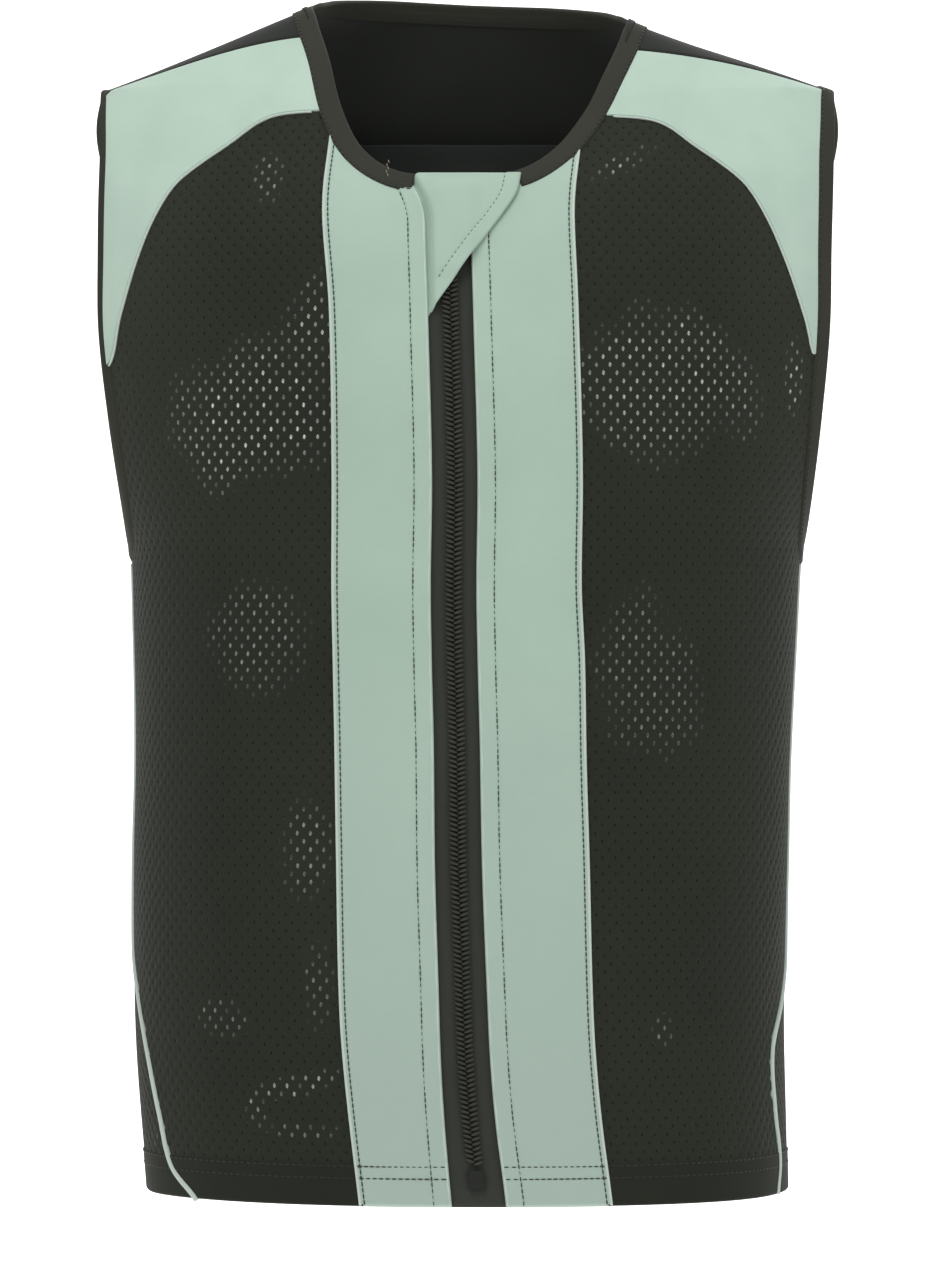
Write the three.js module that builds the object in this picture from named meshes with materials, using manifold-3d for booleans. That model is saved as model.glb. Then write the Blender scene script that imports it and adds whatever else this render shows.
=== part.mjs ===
import * as THREE from "three";
import { mergeVertices } from "three/addons/utils/BufferGeometryUtils.js";
import Module from "manifold-3d";

const wasm = await Module();
wasm.setup();

// Sizes in millimetres. X runs across the chest, the chest faces -Y and Z is up.
// The origin lies between the shoulders, at the height where they carry the vest.
const tipDrop = 22;
const neckRise = 29;
const frontLength = 546;
const shoulderHalf = 182;
const chestDepth = 118;
const backDepth = 104;
const squareness = 2.3;
const neckHalf = 78;
const neckDrop = 69;
const neckOpenHalf = 23.5;
const neckOpenShift = 4.4;
const armholeHeight = 226;
const armholeHalfDepth = 58;
const armholeSkew = 0.18;
const armholeBackExtra = 0.12;

const clothWall = 1.6;
const bindingWall = 3;
const neckBindingWidth = 11;
const armholeBindingWidth = 9;
const pipingWidth = 3;
const pipingWall = 2.4;
const seamGap = 0.4;

const yokeDrop = 128;
const shoulderSeamForward = 26;
const backYokeDrop = 92;
const centrePanelHalf = 61;
const placketHalfGap = 10.8;
const placketHemHalfGap = 13;
const sidePanelSwing = 58;

const zipLength = 472;
const zipTopDrop = 56;
const tapeWidth = 16;
const tapeWall = 0.8;
const coilWidth = 4.1;
const coilWall = 2.2;
const sliderWidth = 11;
const sliderLength = 14;
const sliderWall = 2;
const sliderSetback = 2;
const pullLength = 20;
const pullWidth = 6;
const pullStep = 0.6;
const zipBoxLength = 9;
const zipBoxStep = 0.4;
const pullOverlap = 0.2;
const guardMargin = 1;
const guardEase = 8;
const guardWall = 1.4;
const guardHalf = 27;
const guardLength = 70;

const padTopDrop = 6;
const padLength = 490;
const padHalf = 124;
const padThickness = 14;
const padGap = 0.8;
const rowClearance = 2;

const neckTop = neckRise;
const tipTop = -tipDrop;
const hemTop = tipTop - frontLength;
const shoulderRise = neckRise + tipDrop;
const halfWall = clothWall / 2;
const armholeMid = tipTop - armholeHeight / 2;

// Horizontal sections over the shoulders. rise is a share of the way from the shoulder tips up to
// the back of the neck, inward a share of the way from the tips in to the sides of the neck, and
// front and back are shares of the chest's and the back's depth.
const shoulderSections = [
  { rise: 0.0, inward: 0.0, front: 0.42, back: 0.77 },
  { rise: 0.25, inward: 0.33, front: 0.34, back: 0.72 },
  { rise: 0.5, inward: 0.66, front: 0.25, back: 0.68 },
  { rise: 0.7, inward: 0.91, front: 0.19, back: 0.65 },
  { rise: 0.775, inward: 1.0, front: 0.175, back: 0.64 },
  { rise: 0.88, inward: 1.06, front: 0.16, back: 0.62 },
  { rise: 1.0, inward: 1.1, front: 0.15, back: 0.6 },
  { rise: 1.14, inward: 1.16, front: 0.13, back: 0.55 },
];

// Horizontal sections below the tips. drop is a share of the front's length, half a share of the
// shoulders' half width as seen from the front.
const bodySections = [
  { drop: 0.0, half: 1.0, front: 0.42, back: 0.77 },
  { drop: 0.026, half: 0.998, front: 0.505, back: 0.82 },
  { drop: 0.062, half: 0.993, front: 0.63, back: 0.88 },
  { drop: 0.1, half: 0.99, front: 0.76, back: 0.925 },
  { drop: 0.15, half: 0.986, front: 0.87, back: 0.965 },
  { drop: 0.22, half: 0.981, front: 0.95, back: 1.0 },
  { drop: 0.3, half: 0.957, front: 0.99, back: 1.005 },
  { drop: 0.412, half: 0.918, front: 0.99, back: 0.95 },
  { drop: 0.48, half: 0.908, front: 0.975, back: 0.9 },
  { drop: 0.6, half: 0.896, front: 0.935, back: 0.8 },
  { drop: 0.7, half: 0.895, front: 0.905, back: 0.765 },
  { drop: 0.8, half: 0.891, front: 0.895, back: 0.785 },
  { drop: 0.9, half: 0.886, front: 0.91, back: 0.845 },
  { drop: 1.0, half: 0.877, front: 0.935, back: 0.92 },
];

// The vest hangs a little to one side: shift is a share of the shoulders' half width.
const leanSections = [
  { drop: -0.1, shift: 0.014 },
  { drop: 0.0, shift: 0.005 },
  { drop: 0.2, shift: 0.006 },
  { drop: 0.5, shift: -0.003 },
  { drop: 0.83, shift: -0.018 },
  { drop: 1.0, shift: 0.004 },
];
const neckTilt = 3.5;

// The middle of the chest sways to one side of the shoulders as well: sway is a share of the
// centre panels' half width.
const swaySections = [
  { drop: -0.1, sway: -0.105 },
  { drop: 0.07, sway: -0.107 },
  { drop: 0.2, sway: -0.077 },
  { drop: 0.36, sway: -0.04 },
  { drop: 0.62, sway: -0.022 },
  { drop: 0.82, sway: 0.033 },
  { drop: 0.93, sway: 0.074 },
  { drop: 1.0, sway: 0.113 },
];
const swayFrom = 0.25;
const swayTo = 0.85;

// The neck edge from one shoulder down to the zip, and behind over the nape.
const neckFront = [
  { across: 1.0, down: -0.254 },
  { across: 0.955, down: -0.09 },
  { across: 0.872, down: 0.16 },
  { across: 0.756, down: 0.52 },
  { across: 0.59, down: 0.81 },
  { across: 0.372, down: 0.97 },
  { across: 0.0, down: 1.0 },
];
const neckBack = [
  { across: 1.0, up: 0.603 },
  { across: 0.93, up: 0.735 },
  { across: 0.846, up: 0.845 },
  { across: 0.705, up: 0.93 },
  { across: 0.51, up: 0.983 },
  { across: 0.26, up: 1.0 },
  { across: 0.0, up: 1.0 },
];

// The seam below the pale yoke: across is a share of the shoulders' half width, down of its drop.
const yokeSeam = [
  { across: 0.2, down: 0.13 },
  { across: 0.4, down: 0.115 },
  { across: 0.53, down: 0.14 },
  { across: 0.632, down: 0.242 },
  { across: 0.7, down: 0.31 },
  { across: 0.766, down: 0.39 },
  { across: 0.823, down: 0.52 },
  { across: 0.875, down: 0.7 },
  { across: 0.92, down: 0.905 },
  { across: 0.956, down: 1.086 },
  { across: 1.2, down: 1.4 },
];

// Seams beside the zip, down the front's length. centre is the zip's own line and the wearer's
// right and left panel edges follow; all three are shares of the centre panel's half width.
// open is how far the plackets have opened between their upper and hem half widths.
const zipSeams = [
  { drop: -0.2, centre: 0.0, right: -0.98, left: 0.98, open: 0.0 },
  { drop: 0.06, centre: 0.0, right: -0.98, left: 0.98, open: 0.0 },
  { drop: 0.12, centre: -0.02, right: -1.02, left: 0.95, open: 0.0 },
  { drop: 0.21, centre: -0.01, right: -1.0, left: 0.99, open: 0.0 },
  { drop: 0.36, centre: -0.01, right: -1.0, left: 0.995, open: 0.02 },
  { drop: 0.6, centre: -0.02, right: -1.0, left: 0.99, open: 0.1 },
  { drop: 0.82, centre: 0.03, right: -0.97, left: 1.02, open: 0.35 },
  { drop: 0.92, centre: 0.0, right: -0.96, left: 1.02, open: 0.6 },
  { drop: 1.0, centre: -0.02, right: -0.96, left: 1.03, open: 1.0 },
  { drop: 1.1, centre: -0.02, right: -0.95, left: 1.03, open: 1.0 },
];

// The side seam: how far it swings forward toward the hem, as a share of its full swing.
const sideSeams = [
  { drop: 0.2, right: 0.0, left: 0.0 },
  { drop: 0.62, right: 0.0, left: 0.0 },
  { drop: 0.7, right: 0.08, left: 0.01 },
  { drop: 0.77, right: 0.2, left: 0.1 },
  { drop: 0.82, right: 0.5, left: 0.42 },
  { drop: 0.866, right: 0.69, left: 0.73 },
  { drop: 0.925, right: 0.84, left: 0.73 },
  { drop: 0.97, right: 0.94, left: 0.65 },
  { drop: 1.0, right: 1.16, left: 0.74 },
  { drop: 1.1, right: 1.4, left: 0.8 },
];

// The pad's half width down its length, as a share of its widest.
const padSections = [
  { down: 0.0, half: 0.62 },
  { down: 0.03, half: 0.74 },
  { down: 0.1, half: 0.86 },
  { down: 0.25, half: 1.0 },
  { down: 0.4, half: 0.95 },
  { down: 0.6, half: 0.78 },
  { down: 0.8, half: 0.72 },
  { down: 0.93, half: 0.7 },
  { down: 0.98, half: 0.6 },
  { down: 1.0, half: 0.46 },
];

// The pad's own rows, close together at its rounded ends.
const padRows = [
  0, 0.012, 0.03, 0.07, 0.13, 0.2, 0.28, 0.36, 0.45, 0.54, 0.63, 0.72, 0.81, 0.89, 0.95, 0.98, 1,
];

// Shallow folds in the cloth: across is a share of the shoulders' half width, down of the
// front's length, long and wide of the chest's depth; height counts wall thicknesses.
const folds = [
  { across: -0.62, down: 0.28, long: 0.6, wide: 0.13, turn: 0.9, height: 1.7 },
  { across: -0.5, down: 0.47, long: 0.7, wide: 0.16, turn: 0.55, height: -1.5 },
  { across: -0.55, down: 0.8, long: 0.65, wide: 0.15, turn: -0.5, height: 1.4 },
  { across: 0.64, down: 0.25, long: 0.6, wide: 0.13, turn: -0.9, height: 1.6 },
  { across: 0.55, down: 0.5, long: 0.75, wide: 0.16, turn: -0.5, height: -1.5 },
  { across: 0.6, down: 0.78, long: 0.6, wide: 0.15, turn: 0.5, height: 1.3 },
];

function smoothstep(from, to, value) {
  const t = Math.min(1, Math.max(0, (value - from) / (to - from)));
  return t * t * (3 - 2 * t);
}

// Reads one column of a table at any place, with a smooth curve through its rows.
function readTable(rows, place, column, at) {
  let i = 1;
  while (i < rows.length - 1 && rows[i][place] < at) i++;
  const a = rows[i - 1];
  const b = rows[i];
  const span = b[place] - a[place];
  const before = rows[Math.max(0, i - 2)];
  const after = rows[Math.min(rows.length - 1, i + 1)];
  const slopeA = (b[column] - before[column]) / (b[place] - before[place]);
  const slopeB = (after[column] - a[column]) / (after[place] - a[place]);
  const t = Math.min(1, Math.max(0, (at - a[place]) / span));
  const eased = t * t * (3 - 2 * t) * (b[column] - a[column]);
  const bend = (t * (1 - t) * (1 - t) * slopeA - t * t * (1 - t) * slopeB) * span;
  return a[column] + eased + bend;
}

function dropAt(z) {
  return (tipTop - z) / frontLength;
}

function heightAt(drop) {
  return tipTop - drop * frontLength;
}

// How far in front of or behind the shoulder line the armhole reaches at a height.
function armholeReach(z) {
  const c = (z - armholeMid) / (armholeHeight / 2);
  if (Math.abs(c) >= 1) return 0;
  return armholeHalfDepth * Math.sqrt(1 - c * c) * (1 - armholeSkew * c);
}

// The horizontal section at a height. Beside the armhole it runs wide enough for the armhole's
// front edge to lie on the outline.
function sectionAt(z) {
  if (z > tipTop) {
    const rise = (z - tipTop) / shoulderRise;
    const inward = readTable(shoulderSections, "rise", "inward", rise);
    return {
      half: shoulderHalf - inward * (shoulderHalf - neckHalf),
      front: chestDepth * readTable(shoulderSections, "rise", "front", rise),
      back: backDepth * readTable(shoulderSections, "rise", "back", rise),
    };
  }
  const drop = dropAt(z);
  const front = chestDepth * readTable(bodySections, "drop", "front", drop);
  const reach = Math.min(0.8, armholeReach(z) / front);
  const outline = shoulderHalf * readTable(bodySections, "drop", "half", drop);
  return {
    half: outline / Math.pow(1 - Math.pow(reach, squareness), 1 / squareness),
    front,
    back: backDepth * readTable(bodySections, "drop", "back", drop),
  };
}

// Below 1 inside the body surface, 1 on it.
function level(x, y, z) {
  const s = sectionAt(z);
  const depth = y < 0 ? s.front : s.back;
  const sum = Math.pow(Math.abs(x) / s.half, squareness) + Math.pow(Math.abs(y) / depth, squareness);
  return Math.pow(sum, 1 / squareness);
}

function outward(p) {
  const step = 0.5;
  return new THREE.Vector3(
    level(p.x + step, p.y, p.z) - level(p.x - step, p.y, p.z),
    level(p.x, p.y + step, p.z) - level(p.x, p.y - step, p.z),
    level(p.x, p.y, p.z + step) - level(p.x, p.y, p.z - step),
  ).divideScalar(2 * step);
}

function normalAt(p) {
  return outward(p).normalize();
}

function offsetPoint(p, distance) {
  return p.clone().addScaledVector(normalAt(p), distance);
}

// Moves a point near the body surface onto it.
function ontoSurface(p) {
  const q = p.clone();
  for (let i = 0; i < 6; i++) {
    const slope = outward(q);
    q.addScaledVector(slope, (1 - level(q.x, q.y, q.z)) / slope.lengthSq());
  }
  return q;
}

function ringPoint(angle, z) {
  const s = sectionAt(z);
  const c = Math.cos(angle);
  const d = Math.sin(angle);
  const power = 2 / squareness;
  return new THREE.Vector3(
    s.half * Math.sign(c) * Math.pow(Math.abs(c), power),
    (d < 0 ? s.front : s.back) * Math.sign(d) * Math.pow(Math.abs(d), power),
    z,
  );
}

// A point of the front (side -1) or the back (side 1), seen straight on.
function facePoint(x, z, side) {
  const s = sectionAt(z);
  const across = Math.min(0.999, Math.abs(x) / s.half);
  const share = Math.pow(1 - Math.pow(across, squareness), 1 / squareness);
  return new THREE.Vector3(x, side * (side < 0 ? s.front : s.back) * share, z);
}

// The whole garment leans, sways, tilts at the neck and has folds: each piece is bent alike.
function hang(p) {
  const drop = dropAt(p.z);
  const q = p.clone();
  q.x += shoulderHalf * readTable(leanSections, "drop", "shift", drop);
  const sway = centrePanelHalf * readTable(swaySections, "drop", "sway", drop);
  q.x += sway * smoothstep(swayFrom * chestDepth, swayTo * chestDepth, -p.y);
  const nearNeck = smoothstep(shoulderHalf, neckHalf, Math.abs(p.x));
  const high = smoothstep(-neckDrop, neckTop / 2, p.z);
  q.z -= neckTilt * Math.max(-1, Math.min(1, p.x / neckHalf)) * nearNeck * high;
  if (p.y > 0) return q;
  for (const fold of folds) {
    const dx = p.x - fold.across * shoulderHalf;
    const dz = p.z - heightAt(fold.down);
    const along = (dx * Math.sin(fold.turn) + dz * Math.cos(fold.turn)) / (fold.long * chestDepth);
    const aside = (dx * Math.cos(fold.turn) - dz * Math.sin(fold.turn)) / (fold.wide * chestDepth);
    const depth = fold.height * clothWall * Math.exp(-4 * along * along - 2 * aside * aside);
    q.y -= depth * smoothstep(0, -chestDepth / 2, p.y);
  }
  return q;
}

function meshSolid(positions, triangles) {
  const made = new wasm.Mesh({
    numProp: 3,
    vertProperties: new Float32Array(positions),
    triVerts: new Uint32Array(triangles),
  });
  return new wasm.Manifold(made);
}

// A solid from rows of outer points and the same rows of inner points. Rows run down; seen from
// outside, the points of a row run from left to right. A round one closes on itself sideways.
function wallSolid(outer, inner, round) {
  const rows = outer.length;
  const count = outer[0].length;
  const positions = [];
  const triangles = [];
  for (const sheet of [outer, inner]) {
    for (const row of sheet) {
      for (const p of row) positions.push(p.x, p.y, p.z);
    }
  }
  const id = (sheet, i, j) => sheet * rows * count + i * count + (j % count);
  const quad = (a, b, c, d) => triangles.push(a, b, c, a, c, d);
  const spans = round ? count : count - 1;
  for (let i = 0; i < rows - 1; i++) {
    for (let j = 0; j < spans; j++) {
      quad(id(0, i, j), id(0, i + 1, j), id(0, i + 1, j + 1), id(0, i, j + 1));
      quad(id(1, i, j), id(1, i, j + 1), id(1, i + 1, j + 1), id(1, i + 1, j));
    }
  }
  for (let j = 0; j < spans; j++) {
    quad(id(0, 0, j), id(0, 0, j + 1), id(1, 0, j + 1), id(1, 0, j));
    const last = rows - 1;
    quad(id(0, last, j + 1), id(0, last, j), id(1, last, j), id(1, last, j + 1));
  }
  if (!round) {
    for (let i = 0; i < rows - 1; i++) {
      const end = count - 1;
      quad(id(0, i + 1, 0), id(0, i, 0), id(1, i, 0), id(1, i + 1, 0));
      quad(id(0, i, end), id(0, i + 1, end), id(1, i + 1, end), id(1, i, end));
    }
  }
  return meshSolid(positions, triangles);
}

function solidOfGeometry(geometry) {
  const bare = geometry.clone();
  bare.deleteAttribute("normal");
  bare.deleteAttribute("uv");
  const merged = mergeVertices(bare, 1e-3);
  return meshSolid(merged.attributes.position.array, merged.index.array);
}

// A prism with its outline drawn in two axes, from one place to another along the third.
function prism(outline, along, from, to) {
  const shape = new THREE.Shape(outline.map(([a, b]) => new THREE.Vector2(a, b)));
  const geometry = new THREE.ExtrudeGeometry(shape, { depth: to - from, bevelEnabled: false });
  const x = new THREE.Vector3(1, 0, 0);
  const y = new THREE.Vector3(0, 1, 0);
  const z = new THREE.Vector3(0, 0, 1);
  const turn = new THREE.Matrix4();
  if (along === "x") turn.makeBasis(y, z, x).setPosition(from, 0, 0);
  if (along === "y") turn.makeBasis(x, z, y.clone().negate()).setPosition(0, to, 0);
  if (along === "z") turn.makeBasis(x, y, z).setPosition(0, 0, from);
  geometry.applyMatrix4(turn);
  return solidOfGeometry(geometry);
}

const farAcross = 2 * shoulderHalf;
const farDepth = 2 * chestDepth;
const farUp = neckTop + tipDrop;
const farDown = hemTop - tipDrop;

// The ring heights of the garment's surface: close together over the shoulders, wider below.
function ringHeights() {
  const bodyRows = 16;
  const heights = shoulderSections.map((row) => tipTop + row.rise * shoulderRise).reverse();
  for (let i = 1; i <= bodyRows; i++) {
    const t = i / bodyRows;
    heights.push(heightAt(t * (0.35 + 0.65 * t)));
  }
  return heights;
}

// The whole garment's cloth as one cup, open at the hem.
function garmentShell() {
  const around = 44;
  const sheets = [halfWall, -halfWall].map((offset) =>
    ringHeights().map((z) => {
      const row = [];
      for (let j = 0; j < around; j++) {
        const p = ringPoint((2 * Math.PI * (j + 0.5)) / around, z);
        row.push(offsetPoint(p, offset));
      }
      return row;
    }),
  );
  // Both ends of the cup are level, whatever the slope of the cloth there.
  const top = tipTop + shoulderSections[shoulderSections.length - 1].rise * shoulderRise;
  sheets.forEach((rows) => {
    rows[0].forEach((p) => (p.z = top));
    rows[rows.length - 1].forEach((p) => (p.z = hemTop));
  });
  return wallSolid(sheets[0], sheets[1], true);
}

function smoothCurve(points, closed, count) {
  const curve = new THREE.CatmullRomCurve3(points, closed, "centripetal");
  const made = curve.getSpacedPoints(count);
  return closed ? made.slice(0, count) : made;
}

// The neck edge as seen from the front: side -1 is the chest's, side 1 the nape's.
function neckOutline(side) {
  const rows = side < 0 ? neckFront : neckBack;
  const half = rows.map((row) => {
    const z = side < 0 ? -row.down * neckDrop : row.up * neckRise;
    return new THREE.Vector3(row.across * neckHalf, 0, z);
  });
  const mirrored = half
    .slice(0, -1)
    .reverse()
    .map((p) => new THREE.Vector3(-p.x, 0, p.z));
  return smoothCurve([...half, ...mirrored], false, 28).map((p) => [p.x, p.z]);
}

function neckHole() {
  const front = prism([...neckOutline(-1), [-neckHalf, farUp], [neckHalf, farUp]], "y", -farDepth, 0);
  const back = prism([...neckOutline(1), [-neckHalf, farUp], [neckHalf, farUp]], "y", 0, farDepth);
  return front.add(back);
}

// The neck edge on the surface, from one side of the zip round the nape to the other.
function neckEdge() {
  const front = neckOutline(-1).map(([x, z]) => facePoint(x, z, -1));
  const back = neckOutline(1).map(([x, z]) => facePoint(x, z, 1));
  const leftEnd = neckOpenShift + neckOpenHalf;
  const rightEnd = neckOpenShift - neckOpenHalf;
  const left = front.filter((p) => p.x > leftEnd).reverse();
  const right = front.filter((p) => p.x < rightEnd).reverse();
  const start = facePoint(leftEnd, readNeck(leftEnd), -1);
  const end = facePoint(rightEnd, readNeck(rightEnd), -1);
  const all = [start, ...left, ...back.slice(1, -1), ...right, end].map(ontoSurface);
  return smoothCurve(all, false, 44).map(ontoSurface);
}

// The height of the chest's neck edge at a distance from the middle.
function readNeck(x) {
  const rows = [...neckFront].reverse();
  return -neckDrop * readTable(rows, "across", "down", Math.abs(x) / neckHalf);
}

function armholeOutline() {
  const outline = [];
  const count = 44;
  for (let i = 0; i < count; i++) {
    const angle = (2 * Math.PI * i) / count;
    const c = Math.cos(angle);
    const deep = Math.sin(angle) > 0 ? 1 + armholeBackExtra : 1;
    const reach = armholeHalfDepth * deep * Math.sin(angle) * (1 - armholeSkew * c);
    outline.push([reach, armholeMid + (armholeHeight / 2) * c]);
  }
  return outline;
}

function sidePoint(y, z, side) {
  const s = sectionAt(z);
  const across = Math.min(0.999, Math.abs(y) / (y < 0 ? s.front : s.back));
  const share = Math.pow(1 - Math.pow(across, squareness), 1 / squareness);
  return new THREE.Vector3(side * s.half * share, y, z);
}

function armholeHole(side) {
  const from = side < 0 ? -farAcross : 0;
  return prism(armholeOutline(), "x", from, from + farAcross);
}

function armholeEdge(side) {
  const edge = armholeOutline().map(([y, z]) => sidePoint(y, z, side));
  return smoothCurve(edge, true, 40).map(ontoSurface);
}

// A strip of cloth along an edge curve: from start to end of its width, away from the hollow side
// that the curve's left hand faces, and from inner to outer about the surface.
function strip(curve, closed, turn, width, wall) {
  const rows = curve.map((p, i) => {
    const count = curve.length;
    const next = closed ? curve[(i + 1) % count] : curve[Math.min(count - 1, i + 1)];
    const last = closed ? curve[(i + count - 1) % count] : curve[Math.max(0, i - 1)];
    const way = next.clone().sub(last).normalize();
    const normal = normalAt(p);
    const aside = normal.clone().cross(way).multiplyScalar(turn).normalize();
    const near = p.clone().addScaledVector(aside, width[0]);
    const mid = ontoSurface(p.clone().addScaledVector(aside, (width[0] + width[1]) / 2));
    const far = ontoSurface(p.clone().addScaledVector(aside, width[1]));
    const section = [ontoSurface(near), mid, far];
    return [
      ...section.map((q) => offsetPoint(q, wall[1])),
      ...section.reverse().map((q) => offsetPoint(q, wall[0])),
    ];
  });
  const positions = [];
  const triangles = [];
  const count = rows[0].length;
  for (const row of rows) {
    for (const p of row) positions.push(p.x, p.y, p.z);
  }
  const spans = closed ? rows.length : rows.length - 1;
  const id = (i, j) => (i % rows.length) * count + (j % count);
  for (let i = 0; i < spans; i++) {
    for (let j = 0; j < count; j++) {
      triangles.push(id(i, j), id(i + 1, j), id(i + 1, j + 1));
      triangles.push(id(i, j), id(i + 1, j + 1), id(i, j + 1));
    }
  }
  if (!closed) {
    const last = rows.length - 1;
    triangles.push(id(0, 0), id(0, 1), id(0, 4), id(0, 0), id(0, 4), id(0, 5));
    triangles.push(id(0, 1), id(0, 2), id(0, 3), id(0, 1), id(0, 3), id(0, 4));
    triangles.push(id(last, 0), id(last, 4), id(last, 1), id(last, 0), id(last, 5), id(last, 4));
    triangles.push(id(last, 1), id(last, 3), id(last, 2), id(last, 1), id(last, 4), id(last, 3));
  }
  const facing = turn > 0 ? triangles : triangles.map((_, k) => triangles[k - (k % 3) + 2 - (k % 3)]);
  return meshSolid(positions, facing);
}

function wallRange(thick) {
  return [-thick / 2, thick / 2];
}

const cutOver = 3;

// An open curve with both ends moved on by a distance.
function lengthened(curve, distance) {
  const ends = [
    [0, 1],
    [curve.length - 1, curve.length - 2],
  ];
  const longer = curve.map((p) => p.clone());
  for (const [end, next] of ends) {
    const way = curve[end].clone().sub(curve[next]).normalize();
    longer[end] = ontoSurface(curve[end].clone().addScaledVector(way, distance));
  }
  return longer;
}

// A strip and the wider cutter that clears its neighbours, which starts a little before the curve.
function stripAndCutter(curve, closed, turn, width, thick, before) {
  const longer = closed ? curve : lengthened(curve, seamGap);
  return {
    strip: strip(curve, closed, turn, [0, width], wallRange(thick)),
    cutter: strip(longer, closed, turn, [-before, width + seamGap], wallRange(thick + cutOver)),
  };
}

function zipLine(z, column) {
  return centrePanelHalf * readTable(zipSeams, "drop", column, dropAt(z));
}

function placketEdge(z, side) {
  const open = readTable(zipSeams, "drop", "open", dropAt(z));
  return zipLine(z, "centre") + side * (placketHalfGap + open * (placketHemHalfGap - placketHalfGap));
}

function panelEdge(z, side) {
  return zipLine(z, side < 0 ? "right" : "left");
}

function heightsBetween(top, bottom, count) {
  return Array.from({ length: count + 1 }, (_, i) => top + ((bottom - top) * i) / count);
}

// The rows that every wall on the chest shares, closer together at the neck, so that the layers
// round the zip lie flat on each other. A wall takes those between its own two ends.
function chestHeights(top, bottom) {
  const rows = 22;
  const first = -neckDrop / 2;
  const shared = heightsBetween(0, 1, rows).map((t) => first + (hemTop - first) * t * (0.35 + 0.65 * t));
  return [top, ...shared.filter((z) => z < top - rowClearance && z > bottom + rowClearance), bottom];
}

// A wall on the chest between two edges that are given by height, with its offsets from the
// surface given by place.
function chestWall(heights, columns, leftEdge, rightEdge, inner, outer) {
  const sheets = [outer, inner].map((offset) =>
    heights.map((z) => {
      const left = leftEdge(z);
      const right = rightEdge(z);
      const row = [];
      for (let j = 0; j <= columns; j++) {
        const x = left + ((right - left) * j) / columns;
        const p = facePoint(x, z, -1);
        row.push(offsetPoint(p, typeof offset === "number" ? offset : offset(x, z)));
      }
      return row;
    }),
  );
  // A wall that ends at the hem ends level with it.
  const last = heights.length - 1;
  if (heights[last] === hemTop) sheets.forEach((rows) => rows[last].forEach((p) => (p.z = hemTop)));
  return wallSolid(sheets[0], sheets[1], false);
}

function chestRegion(line, sideways, outerX) {
  const outline = [...line.map(([x, z]) => [x + sideways, z]), [outerX, farDown], [outerX, farUp]];
  return prism(outline, "y", -farDepth, 0);
}

// Everything outside the centre panel's edge on one side.
function besidePanel(side) {
  const line = heightsBetween(farUp, farDown, 30).map((z) => [panelEdge(z, side), z]);
  return chestRegion(line, (side * seamGap) / 2, side * farAcross);
}

// Everything above the yoke's seam on one side, moved down by a share of the seam's gap.
function aboveYokeSeam(side, gapShare) {
  const line = smoothCurve(
    yokeSeam.map((row) => new THREE.Vector3(row.across * shoulderHalf, 0, tipTop - row.down * yokeDrop)),
    false,
    24,
  );
  const seam = line.map((p, i) => {
    const a = line[Math.max(0, i - 1)];
    const b = line[Math.min(line.length - 1, i + 1)];
    const run = Math.hypot(b.x - a.x, b.z - a.z);
    const move = (gapShare * seamGap) / run;
    return [side * (p.x + (b.z - a.z) * move), p.z - (b.x - a.x) * move];
  });
  const last = seam[seam.length - 1];
  const first = seam[0];
  return prism([...seam, [last[0], farUp], [first[0], farUp]], "y", -farDepth, 0);
}

// The front of the garment: before the side seams, and before the seam that runs along the
// shoulders a little ahead of their top.
function frontRegion(side, gapShare) {
  const column = side < 0 ? "right" : "left";
  const move = -gapShare * seamGap;
  const seam = heightsBetween(armholeMid, farDown, 20).map((z) => {
    const forward = sidePanelSwing * readTable(sideSeams, "drop", column, dropAt(z));
    return [-forward + move, z];
  });
  const low = prism([...seam, [-farDepth, farDown], [-farDepth, armholeMid]], "x", -farAcross, farAcross);
  const high = prism(
    [
      [0, -shoulderSeamForward + move],
      [neckHalf, -shoulderSeamForward + move],
      [shoulderHalf, -shoulderSeamForward / 2 + move],
      [farAcross, -shoulderSeamForward / 2 + move],
      [farAcross, -farDepth],
      [0, -farDepth],
    ],
    "z",
    armholeMid,
    farUp,
  );
  const turned = side < 0 ? high.mirror([1, 0, 0]) : high;
  const from = side < 0 ? -farAcross : 0;
  const box = [
    [-farDepth, farDown],
    [farDepth, farDown],
    [farDepth, farUp],
    [-farDepth, farUp],
  ];
  return low.intersect(prism(box, "x", from, from + farAcross)).add(turned);
}

function sideSeamEdge(side) {
  const column = side < 0 ? "right" : "left";
  const top = tipTop - armholeHeight - armholeBindingWidth - seamGap;
  return heightsBetween(top, hemTop, 18).map((z) => {
    const forward = sidePanelSwing * readTable(sideSeams, "drop", column, dropAt(z));
    return sidePoint(-forward, z, side);
  });
}

function piping(side) {
  return stripAndCutter(sideSeamEdge(side), false, side, pipingWidth, pipingWall, seamGap);
}

const neckMade = stripAndCutter(neckEdge(), false, -1, neckBindingWidth, bindingWall, cutOver);
const neckCut = neckMade.cutter.add(neckHole());
const armholeMade = [-1, 1].map((side) =>
  stripAndCutter(armholeEdge(side), true, side, armholeBindingWidth, bindingWall, cutOver),
);
const armholeCut = [-1, 1].map((side, i) => armholeMade[i].cutter.add(armholeHole(side)));
const pipingMade = [-1, 1].map(piping);

const openings = neckCut.add(armholeCut[0]).add(armholeCut[1]);
const cloth = garmentShell().subtract(openings).subtract(pipingMade[0].cutter).subtract(pipingMade[1].cutter);

function sideIndex(side) {
  return side < 0 ? 0 : 1;
}

// A cut can leave crumbs at its corners: the piece is the largest body.
function largestBody(solid) {
  const bodies = solid.decompose().sort((a, b) => b.volume() - a.volume());
  return bodies[0];
}

function frontCloth(side) {
  return cloth.intersect(frontRegion(side, 0.5)).intersect(besidePanel(side));
}

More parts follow.
